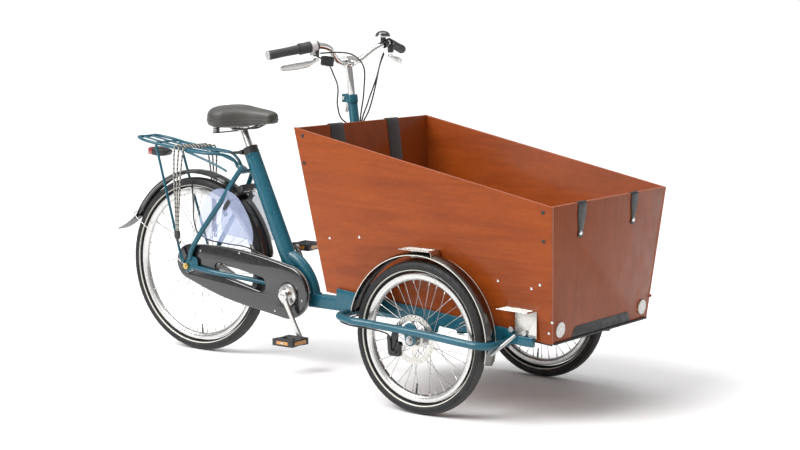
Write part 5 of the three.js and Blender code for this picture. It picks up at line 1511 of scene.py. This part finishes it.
def draped_path(wall, out, y, z_in, z_out, top, thick, depth=12.0):
    """A strap's middle line over the top edge of an end wall: up its inside, over the edge and down its
    outside. out is -1 for the rear wall's outside and +1 for the front wall's."""
    gap = thick / 2 + 0.3
    inside = lambda z: (wall(z) - out * (depth + gap), y, z)
    outside = lambda z: (wall(z) + out * gap, y, z)
    points = [inside(z_in), inside((z_in + top) / 2), inside(top - 4), (wall(top) - out * (depth - 1), y, top + gap),
              (wall(top) - out * 1.5, y, top + gap), outside(top - 4), outside((z_out + top) / 2), outside(z_out)]
    return bent(points, 90, 4)


def draped_strap(wall, out, y0, y1, z_in, z_out, top, thick):
    """A flat strap of even width along such a line."""
    path = draped_path(wall, out, (y0 + y1) / 2, z_in, z_out, top, thick)
    flutter = 1 + 0.012 * np.sin(9 * np.linspace(0, 1, 90))
    return bar(rounded(y1 - y0, thick, thick * 0.42, 4), path, Y, np.stack([flutter, np.ones(90)], 1))


piece("rear_belts", [draped_strap(rear_wall, -1, -200, -127, 828, 850, 901.5, 2.6), draped_strap(rear_wall, -1, 122,
    190, 755, 860, 901.5, 2.6)],
      BELT, "carriage", smooth=50)


def front_strap(y0, y1, low, foot):
    """A rubber strap over the front wall's edge: its width narrows to foot, then widens to a tab round its snap."""
    path = draped_path(front_wall, 1, (y0 + y1) / 2, 668, low, FRONT_TOP_Z, 3.0)
    t = np.linspace(0, 1, len(path))
    wide = np.interp(t, [0, 0.4, 0.55, 0.86, 0.9, 0.95, 0.985, 1], [1, 1, 0.97, foot, foot + 0.16, foot + 0.16, foot,
        foot * 0.55])
    return bar(rounded(y1 - y0, 3.0, 1.2, 4), path, Y, np.stack([wide, np.ones(len(path))], 1))


piece("front_straps", [front_strap(-208, -158, 596, 0.52), front_strap(126, 170, 604, 0.5)], STRAP, "carriage",
    smooth=50)
on_front = lambda y, z, lift: np.array([front_wall(z), y, z]) + lift * FRONT_OUT
piece("strap_snaps", turn([(0, 0), (7.5, 0), (8, 0.8), (7, 2.4), (4, 3.4), (0, 3.8)], [on_front(-183, 611, 3.2),
    on_front(148, 619, 3.2)], FRONT_OUT, 28),
      CHROME, "carriage")
piece("white_front_reflectors", turn([(0, 0), (24.6, 0), (25, 0.8), (25, 3.4), (24.2, 4.2), (21.5, 4.4), (21, 3.8),
    (12, 4.4), (0, 4.6)], [on_front(-259, 312, 0), on_front(259, 312, 0)], FRONT_OUT, 56),
      WHITE_REFLECTOR, "carriage", smooth=30)


def painted_slot_shade_sheet():
    """A dark sheet on the front wall that paints the shade in the drain slot: a low trapezium with cut upper corners
    standing on the wall's foot.
    """
    outline = np.array([(-186, 4), (186, 4), (178, 22), (172, 34), (162, 40), (-162, 40), (-172, 34), (-178, 22)])
    return cut_plate(outline, [], np.array([FRONT_X, 0, FRONT_Z]) - 1.0 * FRONT_OUT, Y, unit([FRONT_LEAN, 0, 1]), 1.8,
        0.4)


# Dark sheet: painted shade in the front drain slot.
piece("front_slot_painted_shade", painted_slot_shade_sheet(), BLACK_STRIP_AND_SLOT_SHADE, "carriage", smooth=30)
piece("front_foot_strip", [
    bar(rounded(9, 7, 2, 4), line(on_front(-288, 270.5, 1.2), on_front(288, 270.5, 1.2), 24), FRONT_OUT),
    [bar(rounded(5, 7, 1.6, 4), line((1738, s * 299.5, 268.6), (1640, s * 298.6, 276.8), 12), Y) for s in (-1, 1)],
], BLACK_STRIP_AND_SLOT_SHADE, "carriage", smooth=40)


# ---------------------------------------------------------------- column, stem and handlebar
def column():
    """Steering column with its clamp collar, the ears of the clamp and a weld at its foot."""
    shaft = turn([(13.3, 0), (16.4, 0), (17, 0.8), (17, 680), (16.4, 681), (13.3, 681)], column_at(313.5),
        COLUMN_AXIS, 48, loop=True)
    collar = turn([(17, 0), (19.4, 0), (20, 0.8), (20, 27), (19.4, 28), (17, 28)], column_at(962), COLUMN_AXIS, 48,
        loop=True)
    c = column_at(978) + (-24, 0, 0)
    ears = [bar(rounded(26, 30, 5, 5), line(c + (0, s * 2.0, 0), c + (0, s * 10.8, 0), 4), X) for s in (-1, 1)]
    feet = [weld(column_at(316), COLUMN_AXIS, 17.4, 2.4)]
    return [shaft, collar, ears, feet]


piece("steering_column_tube", column(), BLUE, "carriage", "steering_column", smooth=35)
piece("column_brackets", [turn([(17.4, -9), (21, -9), (21.6, -8), (21.6, 8), (21, 9), (17.4, 9)], column_at(z),
    COLUMN_AXIS, 40, loop=True) for z in (840, 560)]
      + [bar(rounded(22, 16, 3, 4), line(column_at(z) + (19, 0, 0), column_at(z) + (36.2, 0, 0), 4),
          Y) for z in (840, 560)],
      BLUE, "carriage", smooth=35)
STEM_PIVOT = np.array([column_x(978) - 30, 0, 978.0])
piece("column_quick_release", [
    bar(rounded(2, 2, 0.6, 5), through([STEM_PIVOT + (0, 15.3, 0), STEM_PIVOT + (-1, 16.2, -14),
        STEM_PIVOT + (-4, 16.6, -34), STEM_PIVOT + (-7, 15.5, -52)], 26), X,
        np.stack([np.interp(np.linspace(0, 1, 26), [0, 0.4, 0.9, 1], [6.4, 5.4, 5.8, 3.2]), np.full(26, 2.9)], 1)),
    turn([(0, 0), (8, 0), (8.4, 0.6), (8.4, 6.6), (7.4, 7.6), (0, 7.6)], STEM_PIVOT + (0, 11.4, 0), Y, 30),
], ALLOY, "column_lever", "stem_lever", smooth=40)
piece("column_clamp_bolt", turn([(0, -15), (6, -15), (6.6, -14), (6.6, -11), (3.2, -10.6), (3.2, 11), (0, 11)],
    STEM_PIVOT, Y, 24), ALLOY, "carriage", smooth=35)
BAR_CLAMP = column_at(1104)
piece("chrome_stem", [
    turn([(0, 0), (12.1, 0), (12.6, 0.8), (12.6, 296), (0, 296)], column_at(800), COLUMN_AXIS, 48),
    turn([(12.0, -23), (18.6, -23), (20, -21.6), (20, 21.6), (18.6, 23), (12.0, 23)], BAR_CLAMP, Y, 48, loop=True),
    bar(rounded(18, 22, 4, 5), line(BAR_CLAMP + (14, 0, -2), BAR_CLAMP + (24, 0, -5), 4), Y),
], CHROME, "handlebar_assembly", "stem", smooth=35)
piece("stem_bolt", turn([(0, 0), (5, 0), (5, 20), (4, 21), (2.3, 21), (2.3, 19), (0, 19)], BAR_CLAMP + (20, 0, -14),
    Z, 18), SATIN, "handlebar_assembly", smooth=35)

GRIP_INNER = np.array([728, -208, 1166.0])
GRIP_END = np.array([658, -379, 1136.0])
GRIP_AXIS = unit(GRIP_END - GRIP_INNER)
GRIP_STOP = 186.0
on_grip = lambda d: GRIP_INNER + d * GRIP_AXIS
BAR_HALF = [
    (column_x(1104), 0, 1104), (column_x(1104), -22, 1104), (column_x(1104), -40, 1104), (708, -68, 1111),
    (716, -100, 1130),
    (731, -140, 1154), (734, -176, 1164), tuple(on_grip(0)), tuple(on_grip(14)), tuple(on_grip(60)),
    tuple(on_grip(180)),
]


def chrome_bar():
    """Handlebar: one smooth path mirrored about the middle."""
    right = np.array(BAR_HALF)
    whole = np.vstack([right[::-1], right[1:] * (1, -1, 1)])
    return tube(through(whole, 420), 11, 32, Z)


def lever_bracket():
    """Clamp on the bar and the body that the lever turns in."""
    at = on_grip(2) + (4, -2, -16)
    clamp = turn([(11.1, -9), (15.4, -9), (16, -8), (16, 8), (15.4, 9), (11.1, 9)], on_grip(2), GRIP_AXIS, 40,
        loop=True)
    body = bar(rounded(20, 17, 5, 5), np.array([at + (0, 0, 12), at + (0, 0, 4), at + (0, 0, -10), at + (0, 0, -19)]),
        X, np.array([0.95, 1, 1, 0.9]))
    screw = turn([(0, 0), (4, 0), (3.6, 2), (0, 2.6)], at + (10, 0, 4), X, 14)
    return [clamp, body, screw]


piece("swept_chrome_bar", chrome_bar(), CHROME, "handlebar_assembly", "handlebar", smooth=50)
piece("lever_brackets", [lever_bracket(), mirrored(many(lever_bracket()))], MATTE_BLACK, "handlebar_assembly",
    smooth=40)
piece("bell_foot", [bar(rounded(17, 17, 5, 5), line((731, 168, 1166), (731, 168, 1190), 5), X),
    turn([(11.2, -8), (14.6, -8), (14.6, 8), (11.2, 8)], (738.4, 168, 1163.4), (0.1, 1, 0.28), 32, loop=True)],
      MATTE_BLACK, "handlebar_assembly", smooth=40)


def sleeve(start, stop, radius, ribs=0, depth=0.9, flare=0.0):
    """A soft sleeve on the bar: its radius ripples once per rib and swells to a rounded bead at both ends."""
    d = np.linspace(start, stop, 12 * max(ribs, 3) + 1)
    t = (d - start) / (stop - start)
    swell = flare * np.cos(math.pi * t) ** 2
    r = radius - depth * (0.5 - 0.5 * np.cos(TAU * ribs * t)) + swell - radius * 0.1 * np.clip(1 - np.minimum(t,
        1 - t) / 0.03, 0, 1) ** 2
    outer = np.stack([r, d], 1)
    inner = np.array([(11.5, stop), (11.5, start)])
    return turn(np.vstack([outer, inner]), GRIP_INNER, GRIP_AXIS, 56, loop=True)


def cap_end():
    """A shallow domed plug in the end of the bar."""
    profile = [(0, -1), (15.2, -1), (15.6, 0), (15.4, 1.6), (12, 2.2), (0, 2.4)]
    return turn(np.array(profile) + (0, GRIP_STOP + 0.4), GRIP_INNER, GRIP_AXIS, 40)


piece("right_grip_sleeve", sleeve(67.4, GRIP_STOP, 15.2, 18, 0.9, 0.9), GRIP_GREY, "handlebar_assembly", "grip_right",
    smooth=50)
piece("left_grip_sleeve", mirrored(many(sleeve(28, GRIP_STOP, 15.2, 24, 0.9, 0.9))), GRIP_GREY, "handlebar_assembly",
    "grip_left", smooth=50)
piece("grip_end_caps", [cap_end(), mirrored(cap_end())], SATIN, "handlebar_assembly", smooth=40)
piece("twist_shifter_grip", sleeve(24, 66.6, 19.4, 9, 1.2, 0.6), GRIP_GREY, "shifter", "shifter_grip",
    smooth=50)
piece("shifter_collar", [sleeve(1.5, 23.4, 20.4, 1, 0.0), bar(rounded(20, 20, 6, 5),
    line(on_grip(12) + (0, 0, -14), on_grip(12) + (2, 0, -30), 5), GRIP_AXIS)],
      SHIFTER_SILVER, "handlebar_assembly", smooth=40)
piece("switch_box", bar(rounded(26, 34, 5, 6), line((738, -182, 1116), (744, -144, 1110), 6), X,
    np.array([0.92, 1, 1, 1, 1, 0.94])),
      MATTE_BLACK, "handlebar_assembly", smooth=40)
LEVER_AT = on_grip(2) + (4, -2, -47)


def lever_blade():
    """The lever's blade: broad under the fingers, narrow at its pivot, with a thickened tip."""
    path = through([LEVER_AT, on_grip(28) + (10, -4, -53), on_grip(60) + (15, -6, -54), on_grip(100) + (12, -5, -53),
        on_grip(144) + (8, -3, -51)], 60)
    t = np.linspace(0, 1, 60)
    wide = np.interp(t, [0, 0.12, 0.3, 0.6, 0.9, 0.97, 1], [5, 6.4, 10.5, 11.5, 9.6, 8.0, 4.2])
    thick = np.interp(t, [0, 0.15, 0.5, 0.93, 0.98, 1], [4.0, 3.4, 2.6, 2.8, 3.8, 2.2])
    return [bar(rounded(2, 2, 0.55, 6), path, Z, np.stack([wide, thick], 1)),
            turn([(0, -9), (5.2, -9), (6, -8), (6, 8), (5.2, 9), (0, 9)], LEVER_AT, X, 20)]


right_blade = many(lever_blade())
piece("right_lever_blade", right_blade, ALLOY, "right_lever", "brake_lever_right", smooth=45)
piece("left_lever_blade", mirrored(right_blade), ALLOY, "left_lever", "brake_lever_left", smooth=45)

BELL = np.array([729, 168, 1187.0])
dome_angle = np.radians(np.linspace(8, 86, 16))
piece("bell_dome_shell", turn([(0, 1.0), (24, 1.0), (26.2, 1.6),
    (26.6, 4.5)] + [(26.6 * math.cos(a), 4.5 + 18.6 * math.sin(a)) for a in dome_angle] + [(0, 23.3)], BELL, Z, 64),
      GUARD_BLACK, "bell_dome", "bell", smooth=35)
piece("bell_ring", turn([(24.5, 0), (27, 0), (27.2, 1.2), (27.2, 4.4), (26.8, 5), (24.5, 4)], BELL, Z, 64, loop=True),
    CHROME, "bell_dome", smooth=35)

CABLE_ROUTES = [
    [(716, -190, 1130), (724, -150, 1112), (712, -90, 1060), (684, -32, 1010), (668, -14, 950), (672, 2, 905),
        (702, 27, 876), (column_x(856), 23, 856)],
    [(726, -182, 1140), (752, -120, 1142), (758, -40, 1130), (750, 30, 1085), (738, 46, 1000),
        (column_x(870) - 1, 29, 880), (column_x(856), 29, 856)],
    [(716, 190, 1130), (736, 150, 1110), (748, 108, 1050), (742, 64, 960), (column_x(870) - 1, 35, 880),
        (column_x(856), 35, 856)],
    [(722, 184, 1126), (744, 130, 1088), (752, 96, 1020), (744, 66, 930), (column_x(870) - 1, 41, 880),
        (column_x(856), 41, 856)],
]
cable_grids = [tube(through(route, 120), 2.6, 16) for route in CABLE_ROUTES]
sleeve_run = tube(line(column_at(850) + (0, 27, 0), column_at(345) + (0, 27, 0), 30), 6, 20)
clip = bar(rounded(20, 26, 5, 5), line(column_at(844) + (0, 32, 0), column_at(860) + (0, 32, 0), 5), X)
cables = piece("control_cable_bundle", [cable_grids, sleeve_run, clip], CABLE_BLACK, None, "control_cables",
    smooth=60)
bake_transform(cables)
LIGHT_ROUTE = [(384, -30, 378), (330, -33, 396), (268, -35, 414), (165, -36, 420), (60, -36, 432), (20, -36, 452),
    (4, -36, 490), (0, -36, 560), (-4, -36, 640)]
piece("rear_lamp_cable", tube(through(LIGHT_ROUTE, 140), 2.6, 16), CABLE_BLACK, "frame", "light_cable",
    smooth=60)


# ---------------------------------------------------------------- clear dress guards
def dress_guard(side):
    """A thin clear sheet beside the wheel under the rack, with rounded corners."""
    outline = np.array([(52, 440), (150, 428), (250, 424), (304, 428), (318, 446), (312, 500), (276, 566), (226, 616),
        (150, 632), (90, 600), (52, 520)])
    p = np.insert(outline, 1, 0, axis=1)
    smooth_loop = bent(np.vstack([(p[-1] + p[0]) / 2, p, (p[-1] + p[0]) / 2]), 80, 4)[:-1]
    flat = smooth_loop[:, [0, 2]]
    y = (-62.6, -61.2) if side < 0 else (61.2, 62.6)
    return xz_plate(flat, [], *y, edge=0.3)


for side, word in SIDES:
    piece(f"clear_dress_guard_{word}", dress_guard(side), GUARD_CLEAR, "frame", smooth=40)


# ---------------------------------------------------------------- floor, light and camera
def stage():
    """Floor: one wide pale sheet."""
    a = place([(-45000, -45000, 0), (45000, -45000, 0), (45000, 45000, 0), (-45000, 45000, 0)])
    mesh = bpy.data.meshes.new("studio_floor")
    mesh.from_pydata(a, [], [(0, 1, 2, 3)])
    f = Finish("studio floor paper", Roughness=0.6, Specular_IOR_Level=0.2)
    mesh.materials.append(f.done(f.mix(f.noise(3, 3), (0.93, 0.93, 0.93), (0.95, 0.95, 0.95)), None,
        f.bump(f.noise(300, 3), 0.1, 0.2)))
    obj = bpy.data.objects.new("studio_floor", mesh)
    bpy.context.scene.collection.objects.link(obj)


def softbox(name, at, aim, wide, high, power):
    """An area lamp at one point, turned towards another."""
    light = bpy.data.lights.new(name, "AREA")
    light.shape, light.size, light.size_y, light.energy = "RECTANGLE", wide, high, power
    lamp = bpy.data.objects.new(name, light)
    bpy.context.scene.collection.objects.link(lamp)
    lamp.location = at
    lamp.rotation_euler = (Vector(aim) - Vector(at)).to_track_quat("-Z", "Y").to_euler()


def studio_air():
    """Soft white surroundings: plain white to the camera, and to the object bright above and dim near the floor,
    so that metal has contrast."""
    world = bpy.data.worlds.new("studio air")
    world.use_nodes = True
    bpy.context.scene.world = world
    tree = world.node_tree
    back = tree.nodes["Background"]
    seen = tree.nodes.new("ShaderNodeLightPath")
    way = tree.nodes.new("ShaderNodeTexCoord")
    split = tree.nodes.new("ShaderNodeSeparateXYZ")
    ramp = tree.nodes.new("ShaderNodeMapRange")
    ramp.inputs["From Min"].default_value, ramp.inputs["From Max"].default_value = -0.2, 0.9
    ramp.inputs["To Min"].default_value, ramp.inputs["To Max"].default_value = 0.22, 0.7
    mix = tree.nodes.new("ShaderNodeMix")
    tree.links.new(way.outputs["Generated"], split.inputs[0])
    tree.links.new(split.outputs["Z"], ramp.inputs["Value"])
    tree.links.new(seen.outputs["Is Camera Ray"], mix.inputs[0])
    tree.links.new(ramp.outputs[0], mix.inputs[2])
    mix.inputs[3].default_value = 1.0
    tree.links.new(mix.outputs[0], back.inputs["Strength"])
    back.inputs["Color"].default_value = (1, 1, 1, 1)


stage()
studio_air()
softbox("left softbox", (-1.4, -4.4, 2.4), (0.1, 0, 0.4), 2.6, 1.6, 30)
softbox("top softbox", (0.0, 0.2, 4.2), (0.1, 0, 0.4), 3.4, 1.6, 70)


def wide_key():
    """The main light: even over the whole floor, from high on the rider's right, broad enough for soft shadows."""
    light = bpy.data.lights.new("wide key", "SUN")
    light.energy, light.angle = 3.3, math.radians(38)
    lamp = bpy.data.objects.new("wide key", light)
    bpy.context.scene.collection.objects.link(lamp)
    lamp.rotation_euler = Vector((-0.30, -0.62, 0.75)).to_track_quat("Z", "Y").to_euler()


wide_key()


def aim_camera():
    """The camera stands at its azimuth and height round the target, rolled a fraction of a degree."""
    azimuth, height, roll = map(math.radians, (36.256, 7.5308, 0.2231))
    back = np.array([math.sin(azimuth) * math.cos(height), -math.cos(azimuth) * math.cos(height), math.sin(height)])
    right = np.array([math.cos(azimuth), math.sin(azimuth), 0])
    up = np.cross(back, right)
    r = right * math.cos(roll) + up * math.sin(roll)
    u = -right * math.sin(roll) + up * math.cos(roll)
    at = np.array([0.2513, 0, 0.5481]) + 6.4944 * back
    camera = bpy.data.objects.new("camera", bpy.data.cameras.new("camera"))
    bpy.context.scene.collection.objects.link(camera)
    camera.data.sensor_width = 36
    camera.data.lens = 84.49785
    camera.data.clip_end = 60
    rows = np.eye(4)
    rows[:3, 0], rows[:3, 1], rows[:3, 2], rows[:3, 3] = r, u, back, at
    camera.matrix_world = Matrix(rows.tolist())
    bpy.context.scene.camera = camera


aim_camera()
bpy.context.scene.view_settings.view_transform = "Standard"
